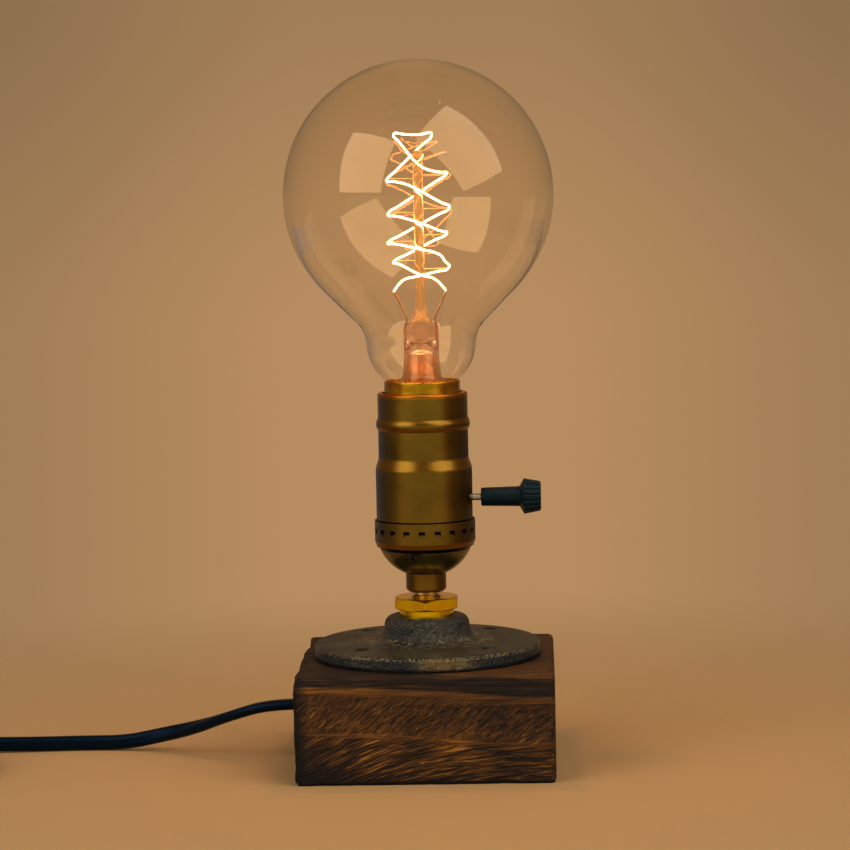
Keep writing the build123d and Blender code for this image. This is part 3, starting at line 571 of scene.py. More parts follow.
# The bowl is tarnished greener, and painted shade darkens the groove above it, under the band's edge.
CAP_BRONZE = replace(
    BRONZE, name="antique_bronze_cap", rings=((67.45, 76.1, "6a6544"), (76.1, 77.4, BRONZE.painted_shade))
)
# Painted shade lies behind the windows and in the band's mouth, and the rolled lip is painted orange:
# painted light for the filament's glow falling on it.
SHELL_BRONZE = replace(
    BRONZE,
    name="antique_bronze_shell",
    rings=((82.6, 84.6, BRONZE.painted_shade), (86.3, 86.95, BRONZE.painted_shade), (130.0, 132.0, "9c6018")),
)
# Blackened screw steel: almost black with a dull shine.
BLACK_STEEL = TurnedMetal("blackened_steel", tint="2a2926", shade="1c1b19", roughness=0.45)
# Plain turned steel: warm grey, half bright.
BRIGHT_STEEL = TurnedMetal("plain_steel", tint="b8b2a8", shade="908a82", roughness=0.3)
# Vulcanised fibre: matt brown card.
FIBRE = Moulding("vulcanised_fibre", tint="6d4a2b", shade="5a3b21", roughness=0.8)
# Pressed phenolic: brown black, half matt.
BODY_PLASTIC = Moulding("black_phenolic", tint="1a1816", shade="100f0e", roughness=0.5)
# The knob's phenolic: blue black with cool lights on its flutes.
KNOB_PLASTIC = Moulding(
    "knob_phenolic", tint="0f1b1f", shade="0a1317", roughness=0.42, grain_mm=0.9, sheen_tint="8fc4d8"
)
# Soft extruded vinyl: deep blue black with a long cool sheen.
FLEX_VINYL = Moulding(
    "black_flex_vinyl", tint="040d17", shade="020810", grain_mm=1.4, relief=0.08, sheen_tint="70aae6"
)
# Woven hook-and-loop tape: matt and rough.
TIE_CLOTH = Moulding("woven_tie", tint="1d1c1b", shade="0f0f0e", roughness=0.9, grain_mm=0.8, relief=0.5)
# Fused black glass: smooth and glossy.
BLACK_GLASS = Moulding("black_base_glass", tint="08080a", shade="050506", roughness=0.08, relief=0.02)
# Soda-lime glass, blown: clear, with soft window lights and a faint painted orange glow at its foot.
GLASS = ClearGlass("blown_glass")
# Lead glass, flared and pinched: a pink tint with a painted glow towards the press.
STEM_GLASS = ClearGlass(
    "stem_lead_glass", tint="f6d6bc", glow_from=137.0, glow_full=147.0, glow_tint="ff9a78", glow=0.045
)
# Lead glass rod inside the thread: amber, with a painted glow all along.
ROD_GLASS = ClearGlass(
    "rod_lead_glass", tint="fbe3c8", glow_from=140.0, glow_full=165.0, glow_tint="ffa440", glow=0.13
)
# Carbon thread: a white-hot line with orange light.
HOT = HotWire("glowing_filament")
# Drawn copper alloy wire: thin warm lines that shine in the thread's light.
WARM_WIRE = TurnedMetal("lead_wire", tint="c9996a", shade="a9794a", roughness=0.35)


class Bench:
    """Modelling steps that the pieces share."""

    @staticmethod
    def start(name: str) -> bpy.types.Object:
        """Takes the primitive that was just added, names it and returns it."""
        piece = bpy.context.view_layer.objects.active
        piece.name = name
        piece.data.name = name
        return piece

    @staticmethod
    def put(name: str, data: Any) -> bpy.types.Object:
        """Adds an object with the given data to the scene and returns it."""
        piece = bpy.data.objects.new(name, data)
        bpy.context.scene.collection.objects.link(piece)
        return piece

    @staticmethod
    def clear() -> None:
        """Leaves edit mode and deselects everything."""
        if bpy.context.mode != "OBJECT":
            bpy.ops.object.mode_set(mode="OBJECT")
        bpy.ops.object.select_all(action="DESELECT")

    @staticmethod
    def take(piece: bpy.types.Object) -> None:
        """Makes one piece the only selected one."""
        Bench.clear()
        piece.select_set(True)
        bpy.context.view_layer.objects.active = piece

    @staticmethod
    def settle(piece: bpy.types.Object) -> None:
        """Puts a piece's place, turn and size into its mesh."""
        Bench.take(piece)
        bpy.ops.object.transform_apply(location=True, rotation=True, scale=True)

    @staticmethod
    def edit() -> None:
        """Opens the active piece for editing, with all of it selected."""
        bpy.ops.object.mode_set(mode="EDIT")
        bpy.ops.mesh.select_all(action="SELECT")

    @staticmethod
    def close(angle_deg: float) -> None:
        """Merges the doubles of the active piece, points its faces outwards and smooths them.

        Args:
            angle_deg: Angle between faces up to which they are smoothed.
        """
        Bench.edit()
        bpy.ops.mesh.remove_doubles(threshold=TOUCH)
        bpy.ops.mesh.normals_make_consistent(inside=False)
        bpy.ops.object.mode_set(mode="OBJECT")
        bpy.ops.object.shade_smooth_by_angle(angle=math.radians(angle_deg))

    @staticmethod
    def spun(name: str, outline: Sequence[Pair], steps: int) -> bpy.types.Object:
        """Turns an outline about Z, as on a lathe.

        Args:
            name: Name of the piece.
            outline: Radius and height of each corner in millimetres, from the first to the last.
            steps: Number of steps in the full turn.

        Returns:
            The turned piece, with its doubles merged and its faces pointing outwards.
        """
        Bench.clear()
        start = Vector((outline[0][0], 0, outline[0][1])) * MM
        bpy.ops.mesh.primitive_circle_add(vertices=3, radius=MM, location=start)
        piece = Bench.start(name)
        Bench.settle(piece)
        Bench.edit()
        bpy.ops.mesh.merge(type="CENTER")
        for (radius, height), (next_radius, next_height) in zip(outline, outline[1:]):
            step = ((next_radius - radius) * MM, 0, (next_height - height) * MM)
            bpy.ops.mesh.extrude_region_move(TRANSFORM_OT_translate={"value": step})
        bpy.ops.mesh.select_all(action="SELECT")
        bpy.ops.mesh.spin(steps=steps, angle=2 * math.pi, center=(0, 0, 0), axis=(0, 0, 1))
        Bench.close(angle_deg=40)
        return piece

    @staticmethod
    def drawn(name: str, points: Sequence[Point | Vector], fineness: int) -> bpy.types.Curve:
        """Draws one smooth open curve.

        Args:
            name: Name of the curve.
            points: Its control points in millimetres.
            fineness: Steps between two control points.

        Returns:
            The curve.
        """
        curve = bpy.data.curves.new(name, "CURVE")
        curve.dimensions = "3D"
        curve.resolution_u = fineness
        spline = curve.splines.new("NURBS")
        spline.points.add(len(points) - 1)
        for knot, point in zip(spline.points, points):
            knot.co = (*(Vector(point) * MM), 1.0)
        spline.order_u = 3
        spline.use_endpoint_u = True
        return curve

    @staticmethod
    def fit(piece: bpy.types.Object, body: Body, slot: str, finish: Finish, *nodes: str) -> None:
        """Dresses a piece, hides the CAD nodes that it replaces and lets it ride on its body.

        Args:
            piece: The finished piece.
            body: The body that it moves with.
            slot: Material slot of the record; not used.
            finish: Its surface finish.
            nodes: CAD nodes that it replaces.
        """
        finish.dress(piece)
        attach(piece, body.value)
        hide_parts(*nodes)
        LOG.info("%s rides on %s", piece.name, body.value)


@dataclass
class Studio:
    """Camera at the photograph's place, plain floor, mirrored cards and soft lights."""

    eye_mm: Point = (39.7, -1049.7, 212.1)
    heading: Pair = (-0.0371, 0.9993)
    pitch_deg: float = 5.02
    roll_deg: float = -1.191
    focal_px: float = 2983.9
    picture_px: float = 850.0
    sensor_mm: float = 36.0
    clip_mm: Pair = (10.0, 50_000.0)
    floor_mm: float = 3000.0
    floor_sides: int = 96
    fade_mm: Pair = (90.0, 440.0)
    floor_paper: str = "b18a5b"
    # The backdrop's colour in the middle, and its painted falloff of light, darker at the sides and in the
    # top corners, and where sides and top begin.
    backdrop: tuple[str, str, str] = ("b78c60", "a07d56", "8c6f4e")
    aside: Pair = (0.03, 0.16)
    above: Pair = (-0.06, 0.07)
    ambient: str = "fff0dc"
    ambient_strength: float = 0.27
    # Cards: place, width and height, turn in degrees and colour.
    card_places: dict[str, tuple[Point, Pair, float, str]] = field(
        default_factory=lambda: {
            "card_front": ((-80, -450, 100), (1400, 200), 0, "cddac4"),
            "card_left": ((-420, 160, 50), (760, 100), 90, "4a6488"),
            "card_right": ((420, 160, 50), (760, 100), 90, "183850"),
            "card_far_left": ((-250, 540, 35), (340, 70), 0, "4a5c70"),
            "card_far_right": ((250, 540, 35), (340, 70), 0, "101e2a"),
        }
    )
    # Lights: place, width and height, roll in degrees and watts.
    light_places: dict[str, tuple[Point, Pair, float, float]] = field(
        default_factory=lambda: {
            "soft_light_left": ((-800, -730, 710), (880, 980), 0, 8.0),
            "soft_light_right": ((720, -630, 930), (1050, 1400), 22, 12.0),
        }
    )
    light_tint: Point = (1.0, 0.95, 0.87)
    light_aim: Point = (0, 0, 180)

    def camera(self) -> None:
        """Sets the camera to the fitted place, tilt and roll."""
        lens = bpy.data.cameras.new("camera")
        lens.sensor_width = self.sensor_mm
        lens.lens = self.focal_px / self.picture_px * self.sensor_mm
        lens.clip_start, lens.clip_end = metres(*self.clip_mm)
        eye = Bench.put("camera", lens)
        right, ahead = self.heading
        pose = Matrix.Translation(metres(*self.eye_mm)) @ Matrix.Rotation(math.atan2(-right, ahead), 4, "Z")
        for degrees, axis in ((90 - self.pitch_deg, "X"), (self.roll_deg, "Z")):
            pose = pose @ Matrix.Rotation(math.radians(degrees), 4, axis)
        eye.matrix_world = pose
        bpy.context.scene.camera = eye

    def paper(self, add: Add, across: Any, upward: Any = 0.0) -> Any:
        """Lays the backdrop's painted falloff of light, darker to its sides and its top.

        Args:
            add: Adds a node to the tree of the floor or of the world.
            across: Distance aside, as a share of the distance to the eye.
            upward: Share of the way to the top.

        Returns:
            The backdrop's colour socket.
        """
        centred = add("Math", (across, self.heading[0]), operation="SUBTRACT")
        beside = (add("Math", [centred], operation="ABSOLUTE"), *self.aside, 0.0, 0.5)
        side = add("MapRange", beside, interpolation_type="SMOOTHSTEP")
        shade = add("Math", (upward, 0.5, side), operation="MULTIPLY_ADD")
        return add("ValToRGB", [shade], stops=toned(zip((0.0, 0.5, 1.0), self.backdrop)))

    def floor(self) -> None:
        """Lays a plain floor whose far parts fade into the backdrop's colour."""
        Bench.clear()
        bpy.ops.mesh.primitive_circle_add(
            vertices=self.floor_sides, radius=self.floor_mm * MM, fill_type="NGON"
        )
        floor = Bench.start("floor")
        made = blank("floor_paper")
        tree = made.node_tree
        add = partial(add_node, tree)
        shader = tree.nodes["Principled BSDF"]
        connect(shader, {"Base Color": linear(self.floor_paper), "Roughness": 0.9, "Specular IOR Level": 0.1})
        place = add("TexCoord", output="Object")
        away = add("VectorMath", [place], "Value", operation="LENGTH")
        far = (away, *metres(*self.fade_mm))
        fade = add("MapRange", far, interpolation_type="SMOOTHSTEP")
        reach = add("Math", (away, -self.eye_mm[1] * MM), operation="ADD")
        right = add("SeparateXYZ", [place], "X")
        beside = add("Math", (right, self.eye_mm[0] * MM), operation="SUBTRACT")
        across = add("Math", (beside, reach), operation="DIVIDE")
        glow = add("Emission", {"Color": self.paper(add, across), "Strength": 1.0})
        mix = add("MixShader", (fade, shader.outputs["BSDF"], glow))
        connect(tree.nodes["Material Output"], {"Surface": mix})
        floor.data.materials.append(made)

    def cards(self) -> None:
        """Stands low cards in front of, beside and behind the lamp, which only metal and glass mirror."""
        for name, (place, size, turn, colour) in self.card_places.items():
            Bench.clear()
            upright = (math.pi / 2, 0, math.radians(turn))
            bpy.ops.mesh.primitive_plane_add(size=1, location=metres(*place), rotation=upright)
            card = Bench.start(name)
            card.scale = (*metres(*size), 1)
            Bench.settle(card)
            made = blank(name)
            glow = add_node(made.node_tree, "Emission", {"Color": linear(colour), "Strength": 1.0})
            connect(made.node_tree.nodes["Material Output"], {"Surface": glow})
            card.data.materials.append(made)
            for rays in ("camera", "diffuse", "transmission", "shadow"):
                setattr(card, "visible_" + rays, False)

    def lights(self) -> None:
        """Hangs two large soft lights beside the camera."""
        for name, (place, size, roll, watts) in self.light_places.items():
            lamp = bpy.data.lights.new(name, "AREA")
            lamp.shape = "RECTANGLE"
            lamp.size, lamp.size_y = metres(*size)
            lamp.energy = watts
            lamp.color = self.light_tint
            holder = Bench.put(name, lamp)
            way = Vector(self.light_aim) - Vector(place)
            aim = way.to_track_quat("-Z", "Y").to_matrix().to_4x4()
            turn = Matrix.Rotation(math.radians(roll), 4, "Z")
            holder.matrix_world = Matrix.Translation(metres(*place)) @ aim @ turn

    def world(self) -> None:
        """Sets the ambient light, and the backdrop that the camera, metal and glass see."""
        world = bpy.data.worlds.new("studio")
        bpy.context.scene.world = world
        world.use_nodes = True
        tree = world.node_tree
        add = partial(add_node, tree)
        paths = add("LightPath").node.outputs
        shown = paths["Is Camera Ray"]
        for rays in ("Is Glossy Ray", "Is Transmission Ray"):
            shown = add("Math", (shown, paths[rays]), operation="MAXIMUM")
        sky = tree.nodes["Background"]
        connect(sky, {"Color": linear(self.ambient), "Strength": self.ambient_strength})
        way = add("SeparateXYZ", [add("TexCoord", output="Object")]).node.outputs
        upward = add("MapRange", (way["Z"], *self.above), interpolation_type="SMOOTHSTEP")
        far = add("Background", {"Color": self.paper(add, way["X"], upward), "Strength": 1.0})
        mix = add("MixShader", (shown, sky.outputs[0], far))
        connect(tree.nodes["World Output"], {"Surface": mix})
        bpy.context.scene.view_settings.view_transform = "Standard"

    def build(self) -> None:
        """Sets the camera, the floor, the cards and the light."""
        self.camera()
        self.floor()
        self.cards()
        self.lights()
        self.world()


@dataclass
class Flex:
    """The flat two-core cord and its coil; tie and plug are CAD nodes that go with it."""

    width: float = 5.4
    thickness: float = 4.1
    groove: float = 0.32
    groove_width: float = 0.8
    section_points: int = 24
    # How soon a core's outline leaves the flat between the cores.
    core_swing: float = 1.6
    route: Sequence[Point] = (
        (-45.0, 0, 20.7),
        (-57.0, 0, 20.7),
        (-70.0, 4.2, 16.4),
        (-84.0, 13.6, 10.4),
        (-98.0, 20.2, 6.4),
        (-112.0, 24.6, 2.9),
        (-127.0, 25.6, 2.8),
        (-143.0, 24.2, 2.8),
        (-160.0, 22.7, 3.2),
        (-178.0, 22.4, 3.55),
        (-195.6, 22.4, 3.55),
    )
    route_steps: int = 5
    coil_centre: Point = (-200.796, -19.793, 3.55)
    coil_inner: float = 22.2
    turn_step: float = 5.0
    layer_step: float = 5.5
    layer_turns: int = 4
    turn_points: int = 16
    # Turns on either side of the change of layers, over which the coil turns back.
    turn_back: float = 0.25
    tail: Sequence[Point] = ((-204.4, 22.57, 9.05), (-213.39, 22.91, 9.05), (-222.22, 24.65, 9.05))
    # Distances from the block between which the cord turns on edge.
    roll_places: Pair = (25.0, 75.0)

    def coil_points(self) -> list[Point]:
        """Returns the control points of the coil's turns, in on the lower layer and out on the upper one."""
        outer = self.coil_inner + self.turn_step * self.layer_turns
        start = math.atan2(outer, self.turn_step / (2 * math.pi))
        # A control polygon lies a little outside the circle that its spline follows.
        outside = 2 / (1 + math.cos(math.pi / self.turn_points) ** 2)
        points = []
        for step in range(1, 2 * self.layer_turns * self.turn_points):
            turns = step / self.turn_points
            past = turns - self.layer_turns
            back = self.turn_back
            climb = min(max((past / back + 1) / 2, 0), 1)
            steps = (past**2 / back + back) / 2 if abs(past) < back else abs(past)
            radius = (self.coil_inner + self.turn_step * steps) * outside
            angle = start + 2 * math.pi * turns
            rise = self.layer_step * (1 - math.cos(math.pi * climb)) / 2
            centre = Vector(self.coil_centre)
            points.append(tuple(centre + Vector((radius * math.cos(angle), radius * math.sin(angle), rise))))
        return points

    def centreline(self) -> list[Vector]:
        """Reads the points of the smooth route from its spline.

        Returns:
            Points in metres from the block to the plug.
        """
        points = [*self.route, *self.coil_points(), *self.tail]
        curve = Bench.drawn("flex_route", points, self.route_steps)
        holder = bpy.data.objects.new("flex_route", curve)
        mesh = bpy.data.meshes.new_from_object(holder)
        line = [vertex.co.copy() for vertex in mesh.vertices]
        bpy.data.objects.remove(holder)
        bpy.data.meshes.remove(mesh)
        bpy.data.curves.remove(curve)
        return line

    def section(self) -> list[Pair]:
        """Returns the outline of the twin section: across its width and its thickness, in millimetres."""
        points = []
        half, radius = self.width / 2, self.thickness / 2
        centre = half - radius
        for step in range(self.section_points):
            angle = 2 * math.pi * step / self.section_points
            swing = max(-1.0, min(1.0, self.core_swing * math.cos(angle)))
            across = centre * swing + radius * math.cos(angle)
            thick = radius * math.sin(angle)
            dip = self.groove * math.exp(-((across / self.groove_width) ** 2))
            thick -= math.copysign(dip, thick) if abs(thick) > radius / 2 else 0
            points.append((across, thick))
        return points

    def build(self) -> None:
        """Sweeps the twin section along the route, turned from flat at the block to on edge on the table."""
        line = self.centreline()
        run = [0.0]
        for here, there in zip(line, line[1:]):
            run.append(run[-1] + (there - here).length)
        section = self.section()
        corners: list[Vector] = []
        for place, spot in enumerate(line):
            ahead = (line[min(place + 1, len(line) - 1)] - line[max(place - 1, 0)]).normalized()
            level = ahead.cross(Vector((0, 0, 1))).normalized()
            upward = level.cross(ahead)
            turn = math.pi / 2 * eased(run[place], *metres(*self.roll_places))
            wide = level * math.cos(turn) + upward * math.sin(turn)
            flat = ahead.cross(wide)
            corners += [spot + wide * across * MM + flat * thick * MM for across, thick in section]
        count = len(section)
        faces = [tuple(range(count))[::-1], tuple(range(len(corners) - count, len(corners)))]
        for first in range(0, len(corners) - count, count):
            for step in range(count):
                here, beside = first + step, first + (step + 1) % count
                faces.append((here, beside, beside + count, here + count))
        mesh = bpy.data.meshes.new("flex_cord")
        mesh.from_pydata(corners, [], faces)
        piece = Bench.put("flex_cord", mesh)
        Bench.take(piece)
        Bench.close(angle_deg=60)
        Bench.fit(piece, Body.BASE, "cord_black", FLEX_VINYL, "cord", "cord_coil", "cord_tail")


def arc(start: Pair, middle: Pair, end: Pair, steps: int) -> list[Pair]:
    """Samples the circle through three points of an outline.

    Args:
        start: First point, as radius and height.
        middle: A point between.
        end: Last point.
        steps: Number of steps.

    Returns:
        Points after the first one, up to the last one.
    """
    (ax, ay), (bx, by), (cx, cy) = start, middle, end
    turn = 2 * (ax * (by - cy) + bx * (cy - ay) + cx * (ay - by))
    square_a, square_b, square_c = ax * ax + ay * ay, bx * bx + by * by, cx * cx + cy * cy
    x = (square_a * (by - cy) + square_b * (cy - ay) + square_c * (ay - by)) / turn
    y = (square_a * (cx - bx) + square_b * (ax - cx) + square_c * (bx - ax)) / turn
    radius = math.hypot(ax - x, ay - y)
    first, halfway, last = (math.atan2(v - y, u - x) for u, v in (start, middle, end))
    sweep = (last - first) % (2 * math.pi)
    if (halfway - first) % (2 * math.pi) > sweep:
        sweep -= 2 * math.pi
    angles = [first + sweep * step / steps for step in range(1, steps + 1)]
    return [(x + radius * math.cos(angle), y + radius * math.sin(angle)) for angle in angles]


@dataclass
class TimberBlock:
    """The block: sawn faces, worn edges, chips along the left top edge and a hole for the cord."""

    length: float = 90.0
    width: float = 89.0
    height: float = 38.0
    cuts: int = 84
    # Waves of each pattern along X, Y and Z, none along an axis where they are zero, and its start.
    slow: tuple[Point, Point] = ((11.0, 11.0, 9.0), (0.0, 0.0, 0.0))
    fast: tuple[Point, Point] = ((3.1, 3.1, 2.3), (7.0, 0.0, 0.0))
    chips: tuple[Point, Point] = ((0.0, 8.0, 7.0), (3.3, 0.0, 0.0))
    notches: tuple[Point, Point] = ((0.0, 5.5, 0.0), (9.1, 0.0, 0.4))
    sawn: tuple[Point, Point] = ((16.0, 2.2, 1.7), (0.0, 0.0, 0.0))
    # Worn edges: least radius, wear over it, its share everywhere and the share of the fast waves.
    round_mm: float = 1.3
    wear_mm: float = 1.6
    wear_share: float = 0.35
    fast_share: float = 0.4
    # Chips at the left: depth, reach inwards and down, threshold, and depth low and added at the top edge.
    chip_mm: float = 2.6
    chip_reach: float = 6.0
    chip_height: float = 9.0
    chip_more: float = 0.1
    notch_less: float = 0.08
    chip_low: float = 0.25
    chip_top: float = 0.8
    # Sawn relief of the sides, its share on top, and the depth that counts as a face.
    relief_mm: float = 0.35
    top_share: float = 0.6
    face_mm: float = 1.0
    hole_height: float = 20.7
    hole_radius: float = 3.2
    hole_depth: float = 50.0
    well_radius: float = 13.0
    well_depth: float = 30.0
    screw_circle: float = 31.0
    screw_radius: float = 1.65
    screw_depth: float = 36.0
    drill_sides: int = 40
    smooth_deg: float = 50.0

    @staticmethod
    def ripple(spot: Vector, waves: Point, start: Point) -> float:
        """Returns the noise of a pattern at a point, from its waves and its start."""
        place = [value / wave + first if wave else first for value, wave, first in zip(spot, waves, start)]
        return noise.noise(Vector(place))

    def worn(self, spot: Vector) -> Vector:
        """Moves a point of the plain block to its worn place.

        Args:
            spot: Point on the plain block, in millimetres.

        Returns:
            The worn point, never outside the plain block.
        """
        half = Vector((self.length, self.width, self.height)) / 2
        centre = Vector((0, 0, half.z))
        local = spot - centre
        wear = self.ripple(spot, *self.slow) + self.fast_share * self.ripple(spot, *self.fast)
        radius = self.round_mm + self.wear_mm * max(0.0, self.wear_share + wear)
        core = Vector([max(-side + radius, min(side - radius, value)) for value, side in zip(local, half)])
        rim = local - core
        local = core + rim.normalized() * min(radius, rim.length)
        inward = spot.x + half.x
        if inward < self.chip_reach:
            depth = max(0.0, self.ripple(spot, *self.chips) + self.chip_more)
            edge = max(0.0, 1 - (self.height - spot.z) / self.chip_height)
            local.x += (self.chip_low + self.chip_top * edge) * depth * self.chip_mm
            notch = max(0.0, self.ripple(spot, *self.notches) - self.notch_less)
            local.z -= edge * notch * self.chip_mm * max(0.0, 1 - inward / self.chip_reach)
        dent = self.relief_mm * (1 + self.ripple(spot, *self.sawn)) / 2
        if abs(local.y) > half.y - self.face_mm:
            local.y -= math.copysign(dent, local.y)
        if abs(local.x) > half.x - self.face_mm:
            local.x -= math.copysign(dent, local.x)
        if local.z > half.z - self.face_mm:
            local.z -= dent * self.top_share
        return local + centre

    def build(self) -> None:
        """Cuts the block, wears it, drills it and dresses it."""
        Bench.clear()
        bpy.ops.mesh.primitive_cube_add(size=1, location=(0, 0, self.height / 2 * MM))
        piece = Bench.start("timber_block")
        piece.scale = metres(self.length, self.width, self.height)
        Bench.settle(piece)
        Bench.edit()
        bpy.ops.mesh.subdivide(number_cuts=self.cuts)
        bpy.ops.object.mode_set(mode="OBJECT")
        for vertex in piece.data.vertices:
            vertex.co = self.worn(vertex.co / MM) * MM
        middle = (-self.hole_depth / 2, 0, self.hole_height)
        self.drill(piece, self.hole_radius, middle, self.hole_depth, turn=(0, math.pi / 2, 0))
        well = self.hole_height - self.hole_radius + self.well_depth / 2
        self.drill(piece, self.well_radius, (0, 0, well), self.well_depth)
        for corner in range(4):
            turn = math.radians(45 + 90 * corner)
            spot = (self.screw_circle * math.cos(turn), self.screw_circle * math.sin(turn), self.height)
            self.drill(piece, self.screw_radius, spot, self.screw_depth)
        Bench.take(piece)
        bpy.ops.object.shade_smooth_by_angle(angle=math.radians(self.smooth_deg))
        Bench.fit(piece, Body.BASE, "wood", PINE, "wood_block")

    def drill(
        self, piece: bpy.types.Object, radius: float, centre: Point, depth: float, turn: Point = (0, 0, 0)
    ) -> None:
        """Drills a round hole.

        Args:
            piece: The block.
            radius: Radius of the hole.
            centre: Middle of the drilled length.
            depth: Drilled length.
            turn: Turn of the drill from upright.
        """
        Bench.clear()
        bpy.ops.mesh.primitive_cylinder_add(
            vertices=self.drill_sides,
            radius=radius * MM,
            depth=depth * MM,
            location=metres(*centre),
            rotation=turn,
        )
        drill = Bench.start("drill")
        Bench.take(piece)
        cut = piece.modifiers.new("hole", "BOOLEAN")
        cut.operation = "DIFFERENCE"
        cut.solver = "EXACT"
        cut.object = drill
        bpy.ops.object.modifier_apply(modifier=cut.name)
        bpy.data.objects.remove(drill)


@dataclass
class GlobeBulb:
    """The globe, its stem with the press, the rod and the glowing thread."""

    rim: float = 135.8
    foot_low: float = 131.6
    foot_radius: float = 12.7
    neck_end: Pair = (19.4, 148.4)
    neck_middle: Pair = (16.72, 140.34)
    corner_radius: float = 20.2
    corner_run: float = 3.4
    globe: float = 47.5
    centre: float = 201.0
    slope_deg: float = 45.0
    wall: float = 0.8
    # Steps around the globe, the stem and the rod, and along the neck, the corner and the globe.
    globe_turn: int = 128
    stem_turn: int = 48
    rod_turn: int = 24
    neck_steps: int = 14
    corner_steps: int = 8
    globe_steps: int = 64
    # The stem: inner wall from its closed top down to the foot, then the outer wall up to the press.
    stem_inner: Sequence[Pair] = (
        (0.0, 146.6), (3.2, 146.3), (4.9, 145.2), (5.5, 143.0), (5.9, 137.9), (7.2, 134.9), (10.9, 131.6),
    )
    stem_outer: Sequence[Pair] = (
        (11.7, 131.6), (8.2, 135.0), (6.8, 138.0), (6.3, 143.0), (6.2, 147.2), (6.2, 150.0), (6.2, 153.0),
        (6.15, 155.0), (5.8, 155.9), (5.2, 156.3), (0.0, 156.3),
    )
    press_low: float = 145.5
    press_full: float = 151.0
    press_share: float = 0.355
    rod_radius: float = 1.7
    # The rod's flared foot on the press: radius and height, and how far it is pressed flat.
    rod_foot: Sequence[Pair] = ((4.2, 156.3), (3.9, 157.4), (2.9, 159.0), (2.1, 161.0))
    foot_share: float = 0.5
    rod_low: float = 156.3
    foot_top: float = 163.6
    rod_top: float = 212.0
    button_radius: float = 2.3
    # The button's outline: start, end and step in degrees.
    button_deg: tuple[int, int, int] = (-45, 90, 18)
    # Corners of the glowing thread: right, back and up, as shares of its reach and rise.
    thread: Sequence[Point] = (
        (0.82, 0, 0), (0.54, -0.34, 0.084), (0.12, -0.62, 0.098), (-0.26, -0.86, 0.140),
        (-0.83, 0.42, 0.190), (0.86, 0.46, 0.358), (0.12, -0.88, 0.436), (-0.99, 0.44, 0.496),
        (0.90, 0.46, 0.740), (0.08, -0.84, 0.784), (-0.76, 0.34, 1.000), (0.44, 0.70, 0.992),
        (-1.00, 0.40, 0.712), (-0.18, -0.86, 0.676), (0.97, 0.44, 0.524), (-1.00, 0.44, 0.312),
        (-0.12, -0.88, 0.280), (0.68, -0.10, 0.238), (0.90, 0.44, 0.136), (-0.14, -0.48, 0.092),
        (-0.58, -0.28, 0.080), (-0.84, 0, 0),
    )
    thread_reach: float = 11.0
    thread_low: float = 167.3
    thread_rise: float = 55.0
    thread_radius: float = 0.33
    thread_steps: int = 8
    thread_round: int = 3
    # Length of the run into a bend at a hook, and half the bend's width.
    bend_run: float = 3.8
    bend_half: float = 1.4

    def side(self, inset: float) -> list[Pair]:
        """Samples one wall of the globe from its foot to its top.

        Args:
            inset: Distance inside the outer wall.

        Returns:
            Radius and height of each point.
        """
        slope = math.radians(self.slope_deg)
        radius = self.globe - inset
        foot = (self.foot_radius - inset, self.foot_low)
        shoulder = (self.foot_radius - inset, self.rim)
        neck_end = (self.neck_end[0] - inset, self.neck_end[1])
        neck_middle = (self.neck_middle[0] - inset, self.neck_middle[1])
        cone_end = (radius * math.sin(slope), self.centre - radius * math.cos(slope))
        corner = self.corner_radius - inset
        low = Vector((corner, cone_end[1] - cone_end[0] + corner))
        points = [foot, shoulder, *arc(shoulder, neck_middle, neck_end, self.neck_steps)]
        before, after = (toward(low, Vector(end), self.corner_run) for end in (neck_end, cone_end))
        middle = (before + after) / 4 + low / 2
        points += [tuple(before), *arc(tuple(before), tuple(middle), tuple(after), self.corner_steps)]
        points.append(cone_end)
        halfway = (slope + math.pi) / 2
        across = (radius * math.sin(halfway), self.centre - radius * math.cos(halfway))
        return points + arc(cone_end, across, (0, self.centre + radius), self.globe_steps)

    @staticmethod
    def seat(piece: bpy.types.Object, slot: str, finish: Finish, node: str) -> None:
        """Fits a piece of the bulb, which casts no shadow."""
        Bench.fit(piece, Body.BULB, slot, finish, node)
        piece.visible_shadow = False

    def envelope(self) -> None:
        """Blows the globe: both walls, joined at the foot."""
        inner, outer = self.side(self.wall), self.side(0)
        piece = Bench.spun("globe_glass", [*reversed(inner), *outer], self.globe_turn)
        self.seat(piece, "clear_glass", GLASS, "glass_envelope")

    def stem(self) -> None:
        """Turns the flared stem and pinches its top flat."""
        piece = Bench.spun("stem_press", [*self.stem_inner, *self.stem_outer], self.stem_turn)
        for vertex in piece.data.vertices:
            share = eased(vertex.co.z / MM, self.press_low, self.press_full)
            vertex.co.y *= 1 - (1 - self.press_share) * share
        self.seat(piece, "clear_glass", STEM_GLASS, "stem_glass")

    def rod(self) -> None:
        """Draws the rod with its pressed foot and the button at its top."""
        button = [
            (self.button_radius * math.cos(turn), self.rod_top + self.button_radius * (1 + math.sin(turn)))
            for turn in map(math.radians, range(*self.button_deg))
        ]
        shank = [(self.rod_radius, self.foot_top), (self.rod_radius, self.rod_top)]
        outline = [(0, self.rod_low), *self.rod_foot, *shank, *button]
        outline.append((0, self.rod_top + 2 * self.button_radius))
        piece = Bench.spun("support_rod", outline, self.rod_turn)
        for vertex in piece.data.vertices:
            share = (self.foot_top - vertex.co.z / MM) / (self.foot_top - self.rod_low)
            vertex.co.y *= 1 - (1 - self.foot_share) * max(share, 0)
        self.seat(piece, "clear_glass", ROD_GLASS, "glass_rod")

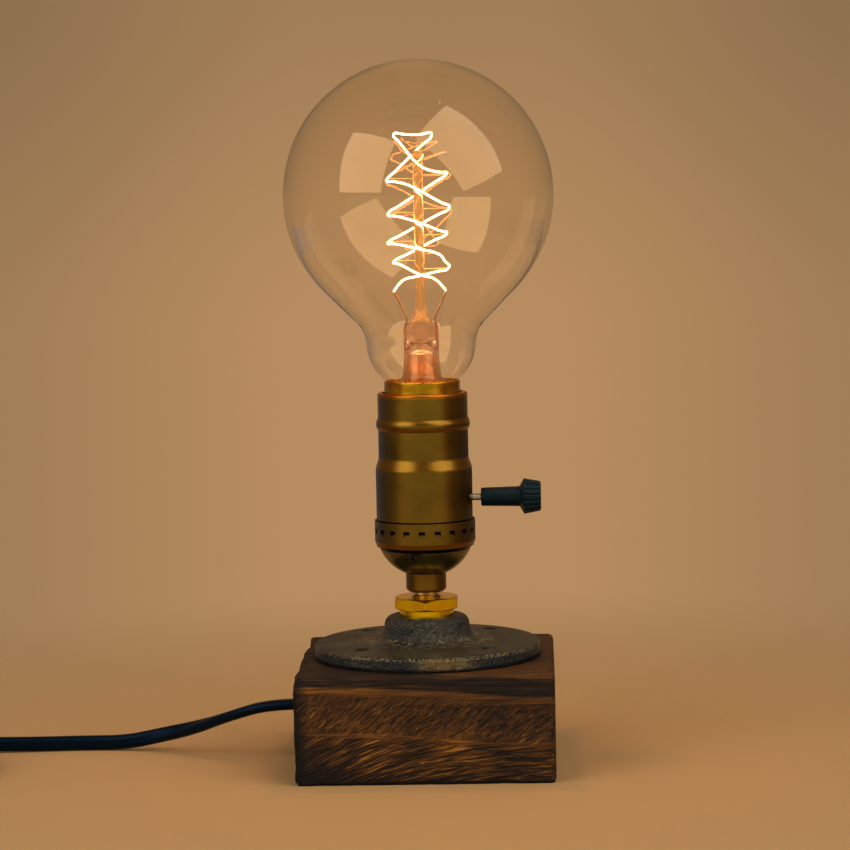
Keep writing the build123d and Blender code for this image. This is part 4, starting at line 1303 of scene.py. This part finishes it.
    def bends(self) -> list[Vector]:
        """Returns the control points of the thread: close bends at the hooks, easy curves between them."""
        reach, rise = self.thread_reach, self.thread_rise
        corners = [
            Vector((right * reach, back * reach, self.thread_low + up * rise))
            for right, back, up in self.thread
        ]
        points = [corners[0]]
        for before, here, after in zip(corners, corners[1:], corners[2:]):
            if here.y > 0:
                turn = (after - before).normalized() * self.bend_half
                ends = [toward(here, corner, self.bend_run) for corner in (before, after)]
                points += [ends[0], here - turn, here + turn, ends[1]]
            else:
                points.append(here)
        return [*points, corners[-1]]

    def filament(self) -> None:
        """Bends the glowing thread from round wire."""
        curve = Bench.drawn("glowing_thread", self.bends(), self.thread_steps)
        curve.bevel_depth = self.thread_radius * MM
        curve.bevel_resolution = self.thread_round
        curve.use_fill_caps = True
        Bench.take(Bench.put("glowing_thread", curve))
        bpy.ops.object.convert(target="MESH")
        piece = bpy.context.view_layer.objects.active
        Bench.close(angle_deg=50)
        self.seat(piece, "filament", HOT, "filament")

    def build(self) -> None:
        """Makes the glass and the glowing thread."""
        self.envelope()
        self.stem()
        self.rod()
        self.filament()


@dataclass
class CadDress:
    """Finishes of the CAD nodes whose shape stays."""

    finishes: dict[Finish, tuple[str, ...]] = field(
        default_factory=lambda: {
            IRON: ("floor_flange",),
            WAIST_BRASS: ("hex_adapter",),
            CAP_BRONZE: ("socket_cap",),
            SHELL_BRONZE: ("socket_shell",),
            BLACK_STEEL: ("flange_screws", "neck_set_screw"),
            BRIGHT_STEEL: ("switch_shaft", "shell_screws", "base_contact"),
            BRASS: (
                "terminal_plates", "terminal_screws", "switch_leaf", "contact_rivet", "centre_contact",
                "plug_blades",
            ),
            BASE_BRASS: ("screw_shell", "bulb_base"),
            FIBRE: ("insulating_sleeve",),
            BODY_PLASTIC: ("socket_body", "switch_rotor"),
            KNOB_PLASTIC: ("switch_knob",),
            BLACK_GLASS: ("base_insulator",),
            WARM_WIRE: ("support_wires", "lead_wires"),
            FLEX_VINYL: ("inner_cord", "core_wires", "plug_body"),
            TIE_CLOTH: ("cord_tie",),
        }
    )

    def build(self, nodes: dict[str, bpy.types.Object]) -> None:
        """Dresses each node that is still shown.

        Args:
            nodes: CAD objects by name.
        """
        for finish, names in self.finishes.items():
            for name in names:
                finish.dress(nodes[name])
                LOG.info("%s is dressed in %s", name, finish.name)


def main() -> None:
    """Builds the lamp's looks in order."""
    logging.basicConfig(level=logging.INFO, format="%(name)s: %(message)s")
    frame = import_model()
    Studio().build()
    Flex().build()
    TimberBlock().build()
    GlobeBulb().build()
    CadDress().build(frame["nodes"])


if __name__ == "__main__":
    main()
